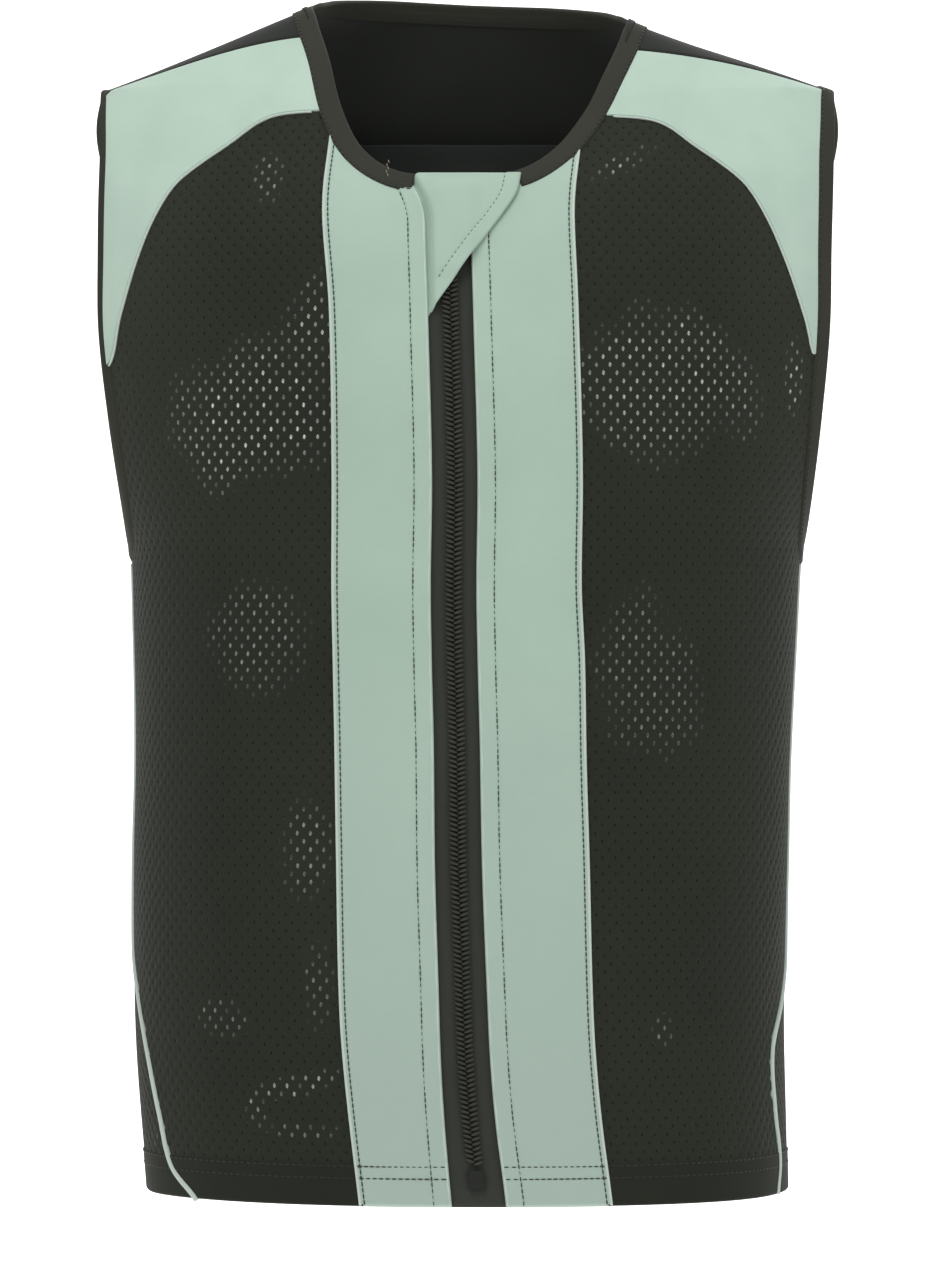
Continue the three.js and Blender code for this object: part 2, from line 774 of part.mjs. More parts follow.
function shoulderYoke(side) {
  return frontCloth(side).intersect(aboveYokeSeam(side, -0.5));
}

function frontMesh(side) {
  return frontCloth(side).subtract(aboveYokeSeam(side, 0.5));
}

function backCloth() {
  return cloth.subtract(frontRegion(-1, -0.5)).subtract(frontRegion(1, -0.5));
}

function backYokeLine() {
  return tipTop - backYokeDrop;
}

function levelSlab(bottom, top) {
  const outline = [
    [-farAcross, bottom],
    [farAcross, bottom],
    [farAcross, top],
    [-farAcross, top],
  ];
  return prism(outline, "y", -farDepth, farDepth);
}

function backYoke() {
  return backCloth().intersect(levelSlab(backYokeLine() + seamGap / 2, farUp));
}

function backPanel() {
  return backCloth().intersect(levelSlab(farDown, backYokeLine() - seamGap / 2));
}

function centrePanel(side) {
  const inner = (z) => placketEdge(z, side);
  const outer = (z) => panelEdge(z, side) - (side * seamGap) / 2;
  const heights = chestHeights(-neckDrop / 2, hemTop);
  const left = side < 0 ? outer : inner;
  const right = side < 0 ? inner : outer;
  return chestWall(heights, 4, left, right, -halfWall, halfWall).subtract(neckCut);
}

const tapeInner = -halfWall - seamGap - tapeWall;
const tapeOuter = -halfWall - seamGap;
const coilInner = tapeOuter + seamGap;
const coilOuter = coilInner + coilWall;
const zipTop = tipTop - zipTopDrop;
const zipEnd = zipTop - zipLength;

function besideZip(z, side, distance) {
  return zipLine(z, "centre") + side * distance;
}

function zipTape(side) {
  const near = (z) => besideZip(z, side, seamGap / 2);
  const far = (z) => besideZip(z, side, tapeWidth);
  const heights = chestHeights(zipTop, hemTop);
  return chestWall(heights, 2, side < 0 ? far : near, side < 0 ? near : far, tapeInner, tapeOuter);
}

function zipCoil(side) {
  const near = (z) => besideZip(z, side, seamGap / 2);
  const far = (z) => besideZip(z, side, coilWidth);
  const heights = chestHeights(zipTop, zipEnd);
  return chestWall(heights, 1, side < 0 ? far : near, side < 0 ? near : far, coilInner, coilOuter);
}

function zipSlider() {
  const inner = coilOuter + seamGap;
  const outer = inner + sliderWall;
  const edge = (side, width) => (z) => besideZip(z, side, width / 2);
  const sliderTop = zipTop - sliderSetback;
  const body = heightsBetween(sliderTop, sliderTop - sliderLength, 3);
  const tab = heightsBetween(
    sliderTop - sliderLength * (1 - pullOverlap),
    sliderTop - sliderLength - pullLength,
    3,
  );
  const head = chestWall(body, 2, edge(-1, sliderWidth), edge(1, sliderWidth), inner, outer);
  return head.add(chestWall(tab, 2, edge(-1, pullWidth), edge(1, pullWidth), inner, outer - pullStep));
}

function zipBox() {
  const edge = (side) => (z) => besideZip(z, side, coilWidth);
  const heights = heightsBetween(zipEnd - seamGap, zipEnd - seamGap - zipBoxLength, 2);
  return chestWall(heights, 2, edge(-1), edge(1), coilInner, coilOuter - zipBoxStep);
}

const guardBase = coilOuter + seamGap;

// How much the guard rises over the slider and its pull.
function guardLift(x, z) {
  const rise = sliderWall + seamGap;
  const reach = (sliderLength + pullLength) / 2;
  const down = Math.abs(z - (zipTop - sliderSetback - reach));
  const across = Math.abs(x - besideZip(z, 1, 0));
  const clearAcross = sliderWidth / 2 + guardMargin;
  const clearDown = reach + guardMargin;
  const near = 1 - smoothstep(clearAcross, clearAcross + guardEase, across);
  return rise * near * (1 - smoothstep(clearDown, clearDown + guardEase, down));
}

// The flap over the top of the zip: sewn down its left edge, with a slanted free edge that runs
// from the neck down to a point on the zip. Shares of its half width and of its length.
const guardEdges = [
  { down: 0.0, right: -0.81, left: 1.23 },
  { down: 0.13, right: -0.7, left: 1.17 },
  { down: 0.23, right: -0.61, left: 1.03 },
  { down: 0.41, right: -0.54, left: 0.68 },
  { down: 0.6, right: -0.51, left: 0.3 },
  { down: 0.8, right: -0.5, left: -0.08 },
  { down: 1.0, right: -0.51, left: -0.46 },
];

function zipGuard() {
  const top = -neckDrop;
  const heights = heightsBetween(top, top - guardLength, 14);
  const edge = (column) => (z) =>
    guardHalf * readTable(guardEdges, "down", column, (top - z) / guardLength);
  const inner = (x, z) => guardBase + guardLift(x, z);
  const outer = (x, z) => guardBase + guardWall + guardLift(x, z);
  return chestWall(heights, 8, edge("right"), edge("left"), inner, outer);
}

function backPad() {
  const outer = -halfWall - padGap;
  const top = tipTop - padTopDrop;
  const columns = 12;
  const sheets = [outer, outer - padThickness].map((offset) =>
    padRows.map((down) => {
      const half = padHalf * readTable(padSections, "down", "half", down);
      const z = top - down * padLength;
      const row = [];
      for (let j = 0; j <= columns; j++) {
        const x = half * (1 - (2 * j) / columns);
        row.push(offsetPoint(facePoint(x, z, 1), offset));
      }
      return row;
    }),
  );
  return wallSolid(sheets[0], sheets[1], false);
}

function finish(colour, roughness, metalness) {
  return new THREE.MeshStandardMaterial({ color: colour, roughness, metalness });
}

const group = new THREE.Group();

function addPiece(name, solid, material) {
  const made = largestBody(solid).getMesh();
  const positions = [];
  for (let i = 0; i < made.numVert; i++) {
    const [x, y, z] = made.vertProperties.subarray(i * made.numProp, i * made.numProp + 3);
    positions.push(...hang(new THREE.Vector3(x, y, z)).toArray());
  }
  const geometry = new THREE.BufferGeometry();
  geometry.setAttribute("position", new THREE.Float32BufferAttribute(positions, 3));
  geometry.setIndex(Array.from(made.triVerts));
  geometry.computeVertexNormals();
  const mesh = new THREE.Mesh(geometry, material);
  mesh.name = name;
  group.add(mesh);
}

const paleCloth = 0xb2cdbe;
const darkMesh = 0x32342c;
const darkCloth = 0x2a2d2b;
const darkBinding = 0x48443e;

for (const side of [-1, 1]) {
  const name = side < 0 ? "right" : "left";
  addPiece("front_mesh_" + name, frontMesh(side), finish(darkMesh, 0.85, 0));
  addPiece("shoulder_yoke_" + name, shoulderYoke(side), finish(paleCloth, 0.8, 0));
  addPiece("centre_panel_" + name, centrePanel(side), finish(paleCloth, 0.8, 0));
  addPiece("armhole_binding_" + name, armholeMade[sideIndex(side)].strip, finish(darkBinding, 0.75, 0));
  addPiece("side_piping_" + name, pipingMade[sideIndex(side)].strip, finish(0xcddad0, 0.6, 0));
  addPiece("zip_tape_" + name, zipTape(side), finish(0x3a3c36, 0.85, 0));
  addPiece("zip_coil_" + name, zipCoil(side), finish(0x5a5852, 0.5, 0));
}
addPiece("zip_slider", zipSlider(), finish(0x2a2a2a, 0.35, 0.6));
addPiece("zip_box", zipBox(), finish(0x2c2c2a, 0.45, 0));
addPiece("zip_guard", zipGuard(), finish(paleCloth, 0.8, 0));
addPiece("neck_binding", neckMade.strip, finish(darkBinding, 0.75, 0));
addPiece("back_yoke", backYoke(), finish(darkCloth, 0.85, 0));
addPiece("back_panel", backPanel(), finish(darkMesh, 0.85, 0));
addPiece("back_pad", backPad(), finish(0x1f2221, 0.9, 0));

export default group;
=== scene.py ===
import math

import bmesh
import bpy
import numpy as np
from mathutils import Matrix, Vector


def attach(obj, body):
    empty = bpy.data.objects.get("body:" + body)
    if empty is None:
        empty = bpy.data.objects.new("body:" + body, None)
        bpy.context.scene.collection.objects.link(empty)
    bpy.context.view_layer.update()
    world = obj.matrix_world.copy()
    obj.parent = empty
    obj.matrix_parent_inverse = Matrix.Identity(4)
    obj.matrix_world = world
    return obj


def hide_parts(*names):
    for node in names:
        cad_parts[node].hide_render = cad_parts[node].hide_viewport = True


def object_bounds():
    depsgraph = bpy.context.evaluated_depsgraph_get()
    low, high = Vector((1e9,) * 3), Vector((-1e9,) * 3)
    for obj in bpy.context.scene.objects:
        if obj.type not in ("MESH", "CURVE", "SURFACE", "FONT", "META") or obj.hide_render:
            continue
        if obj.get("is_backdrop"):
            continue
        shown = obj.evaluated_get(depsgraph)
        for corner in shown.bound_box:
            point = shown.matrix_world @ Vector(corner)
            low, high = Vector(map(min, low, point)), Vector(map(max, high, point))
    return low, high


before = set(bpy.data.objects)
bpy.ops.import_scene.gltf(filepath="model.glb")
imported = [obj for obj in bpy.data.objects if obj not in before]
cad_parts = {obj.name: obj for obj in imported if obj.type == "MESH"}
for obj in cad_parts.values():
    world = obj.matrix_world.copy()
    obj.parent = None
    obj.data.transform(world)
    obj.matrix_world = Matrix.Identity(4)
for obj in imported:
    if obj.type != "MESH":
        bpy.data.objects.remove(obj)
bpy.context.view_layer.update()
print("frame loaded", len(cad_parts), "nodes")

mm = 0.001  # lengths below are millimetres until a piece is placed

# the body surface that every cloth lies on, with the sizes the part was made from
vest = {
    "tipDrop": 22, "neckRise": 29, "frontLength": 546, "shoulderHalf": 182,
    "chestDepth": 118, "backDepth": 104, "squareness": 2.3, "neckHalf": 78,
    "neckDrop": 69, "neckOpenHalf": 23.5, "neckOpenShift": 4.4, "armholeHeight": 226, "armholeHalfDepth": 58,
    "armholeSkew": 0.18, "armholeBackExtra": 0.12, "clothWall": 1.6, "yokeDrop": 128,
    "shoulderSeamForward": 26, "backYokeDrop": 92, "centrePanelHalf": 61, "placketHalfGap": 10.8,
    "placketHemHalfGap": 13, "sidePanelSwing": 58, "neckTilt": 3.5, "swayFrom": 0.25,
    "swayTo": 0.85,
}
tipTop = -vest["tipDrop"]
hemTop = tipTop - vest["frontLength"]
shoulderRise = vest["neckRise"] + vest["tipDrop"]
armholeMid = tipTop - vest["armholeHeight"] / 2
backYokeLine = tipTop - vest["backYokeDrop"]


def table(columns, *rows):
    return dict(zip(columns.split(), np.array(rows, float).T))


shoulderSections = table(
    "rise inward front back",
    (0, 0, 0.42, 0.77), (0.25, 0.33, 0.34, 0.72), (0.5, 0.66, 0.25, 0.68), (0.7, 0.91, 0.19, 0.65),
    (0.775, 1, 0.175, 0.64), (0.88, 1.06, 0.16, 0.62), (1, 1.1, 0.15, 0.6), (1.14, 1.16, 0.13, 0.55),
)
bodySections = table(
    "drop half front back",
    (0, 1, 0.42, 0.77), (0.026, 0.998, 0.505, 0.82), (0.062, 0.993, 0.63, 0.88),
    (0.1, 0.99, 0.76, 0.925), (0.15, 0.986, 0.87, 0.965), (0.22, 0.981, 0.95, 1),
    (0.3, 0.957, 0.99, 1.005), (0.412, 0.918, 0.99, 0.95), (0.48, 0.908, 0.975, 0.9),
    (0.6, 0.896, 0.935, 0.8), (0.7, 0.895, 0.905, 0.765), (0.8, 0.891, 0.895, 0.785),
    (0.9, 0.886, 0.91, 0.845), (1, 0.877, 0.935, 0.92),
)
leanSections = table(
    "drop shift",
    (-0.1, 0.014), (0, 0.005), (0.2, 0.006), (0.5, -0.003), (0.83, -0.018), (1, 0.004),
)
swaySections = table(
    "drop sway",
    (-0.1, -0.105), (0.07, -0.107), (0.2, -0.077), (0.36, -0.04), (0.62, -0.022), (0.82, 0.033),
    (0.93, 0.074), (1, 0.113),
)
neckFront = table(
    "across down",
    (0, 1), (0.372, 0.97), (0.59, 0.81), (0.756, 0.52), (0.872, 0.16), (0.955, -0.09), (1, -0.254),
)
neckBack = table(
    "across up",
    (0, 1), (0.26, 1), (0.51, 0.983), (0.705, 0.93), (0.846, 0.845), (0.93, 0.735), (1, 0.603),
)
yokeSeam = table(
    "across down",
    (0.2, 0.13), (0.4, 0.115), (0.53, 0.14), (0.632, 0.242), (0.7, 0.31), (0.766, 0.39),
    (0.823, 0.52), (0.875, 0.7), (0.92, 0.905), (0.956, 1.086), (1.2, 1.4),
)
zipSeams = table(
    "drop centre right left open",
    (-0.2, 0, -1.02, 0.98, 0), (0.06, -0.02, -1.04, 0.965, 0), (0.12, -0.06, -1.055, 0.935, 0),
    (0.21, -0.063, -1.016, 0.94, 0), (0.36, -0.053, -1.016, 0.948, 0.02), (0.45, -0.06, -1.016, 0.942, 0.045),
    (0.52, -0.045, -1, 0.975, 0.07), (0.6, -0.02, -0.98, 0.995, 0.1), (0.7, -0.01, -0.97, 1.02, 0.21),
    (0.82, 0, -0.975, 1.02, 0.35), (0.92, -0.015, -0.965, 1.02, 0.6), (1, -0.02, -0.96, 1.03, 1),
    (1.1, -0.02, -0.95, 1.03, 1),
)
sideSeams = table(
    "drop right left",
    (0.2, 0, 0), (0.62, 0, 0), (0.7, 0.08, 0.01), (0.77, 0.2, 0.1), (0.82, 0.5, 0.42),
    (0.866, 0.69, 0.73), (0.925, 0.84, 0.73), (0.97, 0.94, 0.65), (1, 1.16, 0.74), (1.1, 1.4, 0.8),
)
folds = table(
    "across down long wide turn height",
    (-0.62, 0.28, 0.6, 0.13, 0.9, 1.7), (-0.5, 0.47, 0.7, 0.16, 0.55, -1.5),
    (-0.55, 0.8, 0.65, 0.15, -0.5, 1.4), (0.64, 0.25, 0.6, 0.13, -0.9, 1.6),
    (0.55, 0.5, 0.75, 0.16, -0.5, -1.5), (0.6, 0.78, 0.6, 0.15, 0.5, 1.3),
)


def smoothstep(start, end, value):
    t = np.clip((value - start) / (end - start), 0, 1)
    return t * t * (3 - 2 * t)


# one column of a table at any place, with a smooth curve through its rows
def readTable(rows, place, column, at):
    xs, ys, last = rows[place], rows[column], len(rows[place]) - 1
    at = np.asarray(at, float)
    i = np.clip(np.searchsorted(xs, at), 1, last)
    before, after = np.maximum(0, i - 2), np.minimum(last, i + 1)
    span = xs[i] - xs[i - 1]
    slopeA = (ys[i] - ys[before]) / (xs[i] - xs[before])
    slopeB = (ys[after] - ys[i - 1]) / (xs[after] - xs[i - 1])
    t = np.clip((at - xs[i - 1]) / span, 0, 1)
    bend = (t * (1 - t) ** 2 * slopeA - t * t * (1 - t) * slopeB) * span
    return ys[i - 1] + t * t * (3 - 2 * t) * (ys[i] - ys[i - 1]) + bend


def dropAt(z):
    return (tipTop - np.asarray(z, float)) / vest["frontLength"]


def sectionAt(z):
    rise = (z - tipTop) / shoulderRise
    drop = dropAt(z)
    high = z > tipTop
    upper = {c: readTable(shoulderSections, "rise", c, rise) for c in ("inward", "front", "back")}
    lower = {c: readTable(bodySections, "drop", c, drop) for c in ("half", "front", "back")}
    front = vest["chestDepth"] * np.where(high, upper["front"], lower["front"])
    back = vest["backDepth"] * np.where(high, upper["back"], lower["back"])
    c = (z - armholeMid) / (vest["armholeHeight"] / 2)
    reach = vest["armholeHalfDepth"] * np.sqrt(np.maximum(0, 1 - c * c)) * (1 - vest["armholeSkew"] * c)
    n = vest["squareness"]
    share = np.minimum(0.8, reach / front)
    body = vest["shoulderHalf"] * lower["half"] / (1 - share**n) ** (1 / n)
    top = vest["shoulderHalf"] - upper["inward"] * (vest["shoulderHalf"] - vest["neckHalf"])
    return np.where(high, top, body), front, back


def level(p):
    half, front, back = sectionAt(p[:, 2])
    depth = np.where(p[:, 1] < 0, front, back)
    n = vest["squareness"]
    return ((np.abs(p[:, 0]) / half) ** n + (np.abs(p[:, 1]) / depth) ** n) ** (1 / n)


def outward(p):
    step = 0.5
    moves = np.eye(3) * step
    return np.stack([(level(p + m) - level(p - m)) / (2 * step) for m in moves], axis=1)


def normalAt(p):
    g = outward(p)
    return g / np.linalg.norm(g, axis=1, keepdims=True)


def ontoSurface(p, steps=5):
    q = np.array(p, float)
    for _ in range(steps):
        g = outward(q)
        q += g * ((1 - level(q)) / np.maximum(1e-9, (g * g).sum(axis=1)))[:, None]
    return q


def facePoint(x, z, side=-1):
    x, z = np.broadcast_arrays(np.asarray(x, float), np.asarray(z, float))
    half, front, back = sectionAt(z)
    n = vest["squareness"]
    share = (1 - np.minimum(0.999, np.abs(x) / half) ** n) ** (1 / n)
    return np.stack([x, side * (front if side < 0 else back) * share, z], axis=-1)


def sidePoint(y, z, side):
    y, z = np.broadcast_arrays(np.asarray(y, float), np.asarray(z, float))
    half, front, back = sectionAt(z)
    n = vest["squareness"]
    share = (1 - np.minimum(0.999, np.abs(y) / np.where(y < 0, front, back)) ** n) ** (1 / n)
    return np.stack([side * half * share, y, z], axis=-1)


# the point of the shoulders' top above a place seen from above
def ridgePoint(x, y):
    x, y = np.broadcast_arrays(np.asarray(x, float), np.asarray(y, float))
    low, high = np.full(x.shape, -120.0), np.full(x.shape, 40.0)
    for _ in range(24):
        mid = (low + high) / 2
        inside = level(np.stack([x, y, mid], axis=1)) < 1
        low, high = np.where(inside, mid, low), np.where(inside, high, mid)
    return np.stack([x, y, low], axis=1)


# the vest leans, sways, tilts at the neck and has shallow folds: each piece is bent alike
def hang(p):
    drop = dropAt(p[:, 2])
    q = p.copy()
    q[:, 0] += vest["shoulderHalf"] * readTable(leanSections, "drop", "shift", drop)
    depth = vest["chestDepth"]
    sway = vest["centrePanelHalf"] * readTable(swaySections, "drop", "sway", drop)
    q[:, 0] += sway * smoothstep(vest["swayFrom"] * depth, vest["swayTo"] * depth, -p[:, 1])
    nearNeck = smoothstep(vest["shoulderHalf"], vest["neckHalf"], np.abs(p[:, 0]))
    high = smoothstep(-vest["neckDrop"], vest["neckRise"] / 2, p[:, 2])
    q[:, 2] -= vest["neckTilt"] * np.clip(p[:, 0] / vest["neckHalf"], -1, 1) * nearNeck * high
    front = smoothstep(0, -vest["chestDepth"] / 2, p[:, 1])
    for row in zip(*folds.values()):
        f = dict(zip(folds, row))
        dx = p[:, 0] - f["across"] * vest["shoulderHalf"]
        dz = p[:, 2] - (tipTop - f["down"] * vest["frontLength"])
        s, c = math.sin(f["turn"]), math.cos(f["turn"])
        along = (dx * s + dz * c) / (f["long"] * vest["chestDepth"])
        aside = (dx * c - dz * s) / (f["wide"] * vest["chestDepth"])
        depth = f["height"] * vest["clothWall"] * np.exp(-4 * along**2 - 2 * aside**2)
        q[:, 1] -= depth * front
    return q


# points near the surface, laid on it, lifted by a distance and hung as the vest hangs
def lay(p, lift):
    q = ontoSurface(p)
    return hang(q + normalAt(q) * np.broadcast_to(lift, len(q))[:, None])


# a curve through points, evenly spaced
def smoothCurve(points, count, closed=False):
    p = np.array(points, float)
    if closed:
        p = np.vstack([p[-1:], p, p[:2]])
    else:
        p = np.vstack([2 * p[:1] - p[1:2], p, 2 * p[-1:] - p[-2:-1]])
    fine = []
    t = np.linspace(0, 1, 24, endpoint=False)[:, None]
    for i in range(1, len(p) - 2):
        d0, d1, d2 = [max(1e-6, np.linalg.norm(p[i + k + 1] - p[i + k])) ** 0.5 for k in (-1, 0, 1)]
        a = ((p[i] - p[i - 1]) / d0 - (p[i + 1] - p[i - 1]) / (d0 + d1) + (p[i + 1] - p[i]) / d1) * d1
        b = ((p[i + 1] - p[i]) / d1 - (p[i + 2] - p[i]) / (d1 + d2) + (p[i + 2] - p[i + 1]) / d2) * d1
        fine.append(
            (2 * t**3 - 3 * t**2 + 1) * p[i] + (t**3 - 2 * t**2 + t) * a
            + (3 * t**2 - 2 * t**3) * p[i + 1] + (t**3 - t**2) * b
        )
    fine = np.vstack([*fine, p[-2:-1]])
    made = along(fine, np.linspace(0, 1, count + 1))
    return made[:-1] if closed else made


# how far along a curve each of its points lies
def runAlong(curve):
    return np.concatenate([[0], np.cumsum(np.linalg.norm(np.diff(curve, axis=0), axis=1))])


def curveLength(curve):
    return runAlong(curve)[-1]


# the points of a curve at shares of its length
def along(curve, share):
    run = runAlong(curve)
    at = np.clip(share, 0, 1) * run[-1]
    return np.stack([np.interp(at, run, curve[:, k]) for k in range(curve.shape[1])], axis=1)


# edges and seams
def neckOutline(side):
    rows = neckFront if side < 0 else neckBack
    z = -rows["down"] * vest["neckDrop"] if side < 0 else rows["up"] * vest["neckRise"]
    half = np.stack([rows["across"] * vest["neckHalf"], z], axis=1)[::-1]
    mirrored = half[:-1][::-1] * (-1, 1)
    return smoothCurve(np.vstack([half, mirrored]), 80)


def readNeck(x):
    return -vest["neckDrop"] * readTable(neckFront, "across", "down", np.abs(x) / vest["neckHalf"])


# the neck edge on the surface, from the wearer's left of the zip round the nape to the right
def makeNeckEdge():
    ends = vest["neckOpenShift"] + np.array([1, -1]) * vest["neckOpenHalf"]
    front = neckOutline(-1)
    left = front[front[:, 0] > ends[0]][::-1]
    right = front[front[:, 0] < ends[1]][::-1]
    back = neckOutline(1)[1:-1]
    ends = facePoint(ends, readNeck(ends))
    allPoints = np.vstack([
        ends[:1], facePoint(left[:, 0], left[:, 1]), facePoint(back[:, 0], back[:, 1], 1),
        facePoint(right[:, 0], right[:, 1]), ends[1:],
    ])
    return ontoSurface(smoothCurve(ontoSurface(allPoints)[::2], 240))


def armholeOutline(count=120):
    angle = np.linspace(0, 2 * np.pi, count, endpoint=False)
    c = np.cos(angle)
    deep = np.where(np.sin(angle) > 0, 1 + vest["armholeBackExtra"], 1)
    reach = vest["armholeHalfDepth"] * deep * np.sin(angle) * (1 - vest["armholeSkew"] * c)
    return np.stack([reach, armholeMid + vest["armholeHeight"] / 2 * c], axis=1)


def makeArmholeEdge(side, count=240):
    outline = armholeOutline()
    return ontoSurface(smoothCurve(sidePoint(outline[:, 0], outline[:, 1], side), count, True))


def seamForward(z, side):
    column = "right" if side < 0 else "left"
    return vest["sidePanelSwing"] * readTable(sideSeams, "drop", column, dropAt(z))


def zipLine(z, column="centre"):
    return vest["centrePanelHalf"] * readTable(zipSeams, "drop", column, dropAt(z))


placketLean = {"from": -94, "over": 20, "aside": 7.2, "most": 1.14}


def placketEdge(z, side):
    opened = readTable(zipSeams, "drop", "open", dropAt(z))
    gap = vest["placketHalfGap"]
    edge = zipLine(z) + side * (gap + opened * (vest["placketHemHalfGap"] - gap))
    # the right placket leans away from the zip under the neck
    lean = np.clip((z - placketLean["from"]) / placketLean["over"], 0, placketLean["most"])
    return edge - placketLean["aside"] * lean**2 * (side < 0)


def panelEdge(z, side):
    return zipLine(z, "right" if side < 0 else "left")


def yokeLine(count=120):
    p = np.stack([
        yokeSeam["across"] * vest["shoulderHalf"], tipTop - yokeSeam["down"] * vest["yokeDrop"],
    ], axis=1)
    return smoothCurve(p, count)


# how far points of a plane lie beyond a line, over 0 on its left hand
def beyondLine(points, line):
    a, b = line[:-1], line[1:]
    d = b - a
    best = np.full(len(points), 1e9)
    sign = np.ones(len(points))
    for start, step in zip(a, d):
        rel = points - start
        t = np.clip(rel @ step / max(1e-9, step @ step), 0, 1)
        away = rel - t[:, None] * step
        dist = np.hypot(away[:, 0], away[:, 1])
        cross = step[0] * rel[:, 1] - step[1] * rel[:, 0]
        closer = dist < best - 1e-9
        best = np.where(closer, dist, best)
        sign = np.where(closer, np.sign(cross), sign)
    return best * sign


neckEdge = makeNeckEdge()
armholeEdge = {side: makeArmholeEdge(side) for side in (-1, 1)}
print("edges laid out")


materials = {}  # by name, made below
hands = ((-1, "right"), (1, "left"))  # the wearer's, with the sign of x


def coordsOf(mesh):
    co = np.empty(len(mesh.vertices) * 3)
    mesh.vertices.foreach_get("co", co)
    return co.reshape(-1, 3)


def setCoords(mesh, co):
    mesh.vertices.foreach_set("co", np.ascontiguousarray(co, dtype=float).ravel())
    mesh.update()


def meshFrom(name, bm):
    mesh = bpy.data.meshes.new(name)
    bm.to_mesh(mesh)
    bm.free()
    return mesh


def smoothFaces(mesh):
    mesh.polygons.foreach_set("use_smooth", np.ones(len(mesh.polygons), bool))


def newObject(name, data):
    made = bpy.data.objects.new(name, data)
    bpy.context.scene.collection.objects.link(made)
    return made


# the flat place of each point, in millimetres, is kept as the uv map
def keepFlat(mesh, flat):
    uv = mesh.uv_layers.new(name="flat")
    corner = np.empty(len(mesh.loops), dtype=np.int32)
    mesh.loops.foreach_get("vertex_index", corner)
    uv.data.foreach_set("uv", np.ascontiguousarray(flat[corner][:, :2], dtype=float).ravel())


# turns a mesh's faces outwards, away from the middle of the trunk
def faceOut(mesh):
    n = len(mesh.polygons)
    normal, centre = np.empty(n * 3), np.empty(n * 3)
    mesh.polygons.foreach_get("normal", normal)
    mesh.polygons.foreach_get("center", centre)
    away = centre.reshape(-1, 3) - np.array([0, 0, -0.25])
    if (normal.reshape(-1, 3) * away).sum() < 0:
        mesh.flip_normals()


def addPiece(name, mesh, material, replaced=(), smooth=True):
    piece = newObject(name, mesh)
    mesh.materials.append(materials[material])
    if smooth:
        smoothFaces(mesh)
    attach(piece, "root")
    if replaced:
        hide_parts(*replaced)
    return piece


def unitGrid(columns, rows):
    bm = bmesh.new()
    bmesh.ops.create_grid(bm, x_segments=columns, y_segments=rows, size=0.5)
    bmesh.ops.translate(bm, verts=bm.verts, vec=(0.5, 0.5, 0))
    return bm


# cloth from a grid: shape turns its shares across and down into a place, a lift and a flat place
def clothPiece(name, columns, rows, shape, wall, material, replaced=()):
    mesh = meshFrom(name, unitGrid(columns, rows))
    co = coordsOf(mesh)
    place, lift, flat = shape(co[:, 0], 1 - co[:, 1])
    setCoords(mesh, lay(place, lift) * mm)
    keepFlat(mesh, flat)
    faceOut(mesh)
    piece = addPiece(name, mesh, material, replaced)
    solid = piece.modifiers.new("wall", "SOLIDIFY")
    solid.thickness = wall * mm
    solid.offset = -1
    return piece


# how much lower the cloth lies near a turned edge
def edgeRoll(distance, radius):
    t = np.clip(distance / radius, 0, 1)
    return -radius * (1 - np.sqrt(1 - (1 - t) ** 2))


# materials
def srgb(r, g, b):
    return tuple(
        (c / 255 / 12.92) if c <= 10 else ((c / 255 + 0.055) / 1.055) ** 2.4 for c in (r, g, b)
    ) + (1,)


def setInputs(made, values):
    for key, value in values.items():
        made.inputs[key].default_value = value


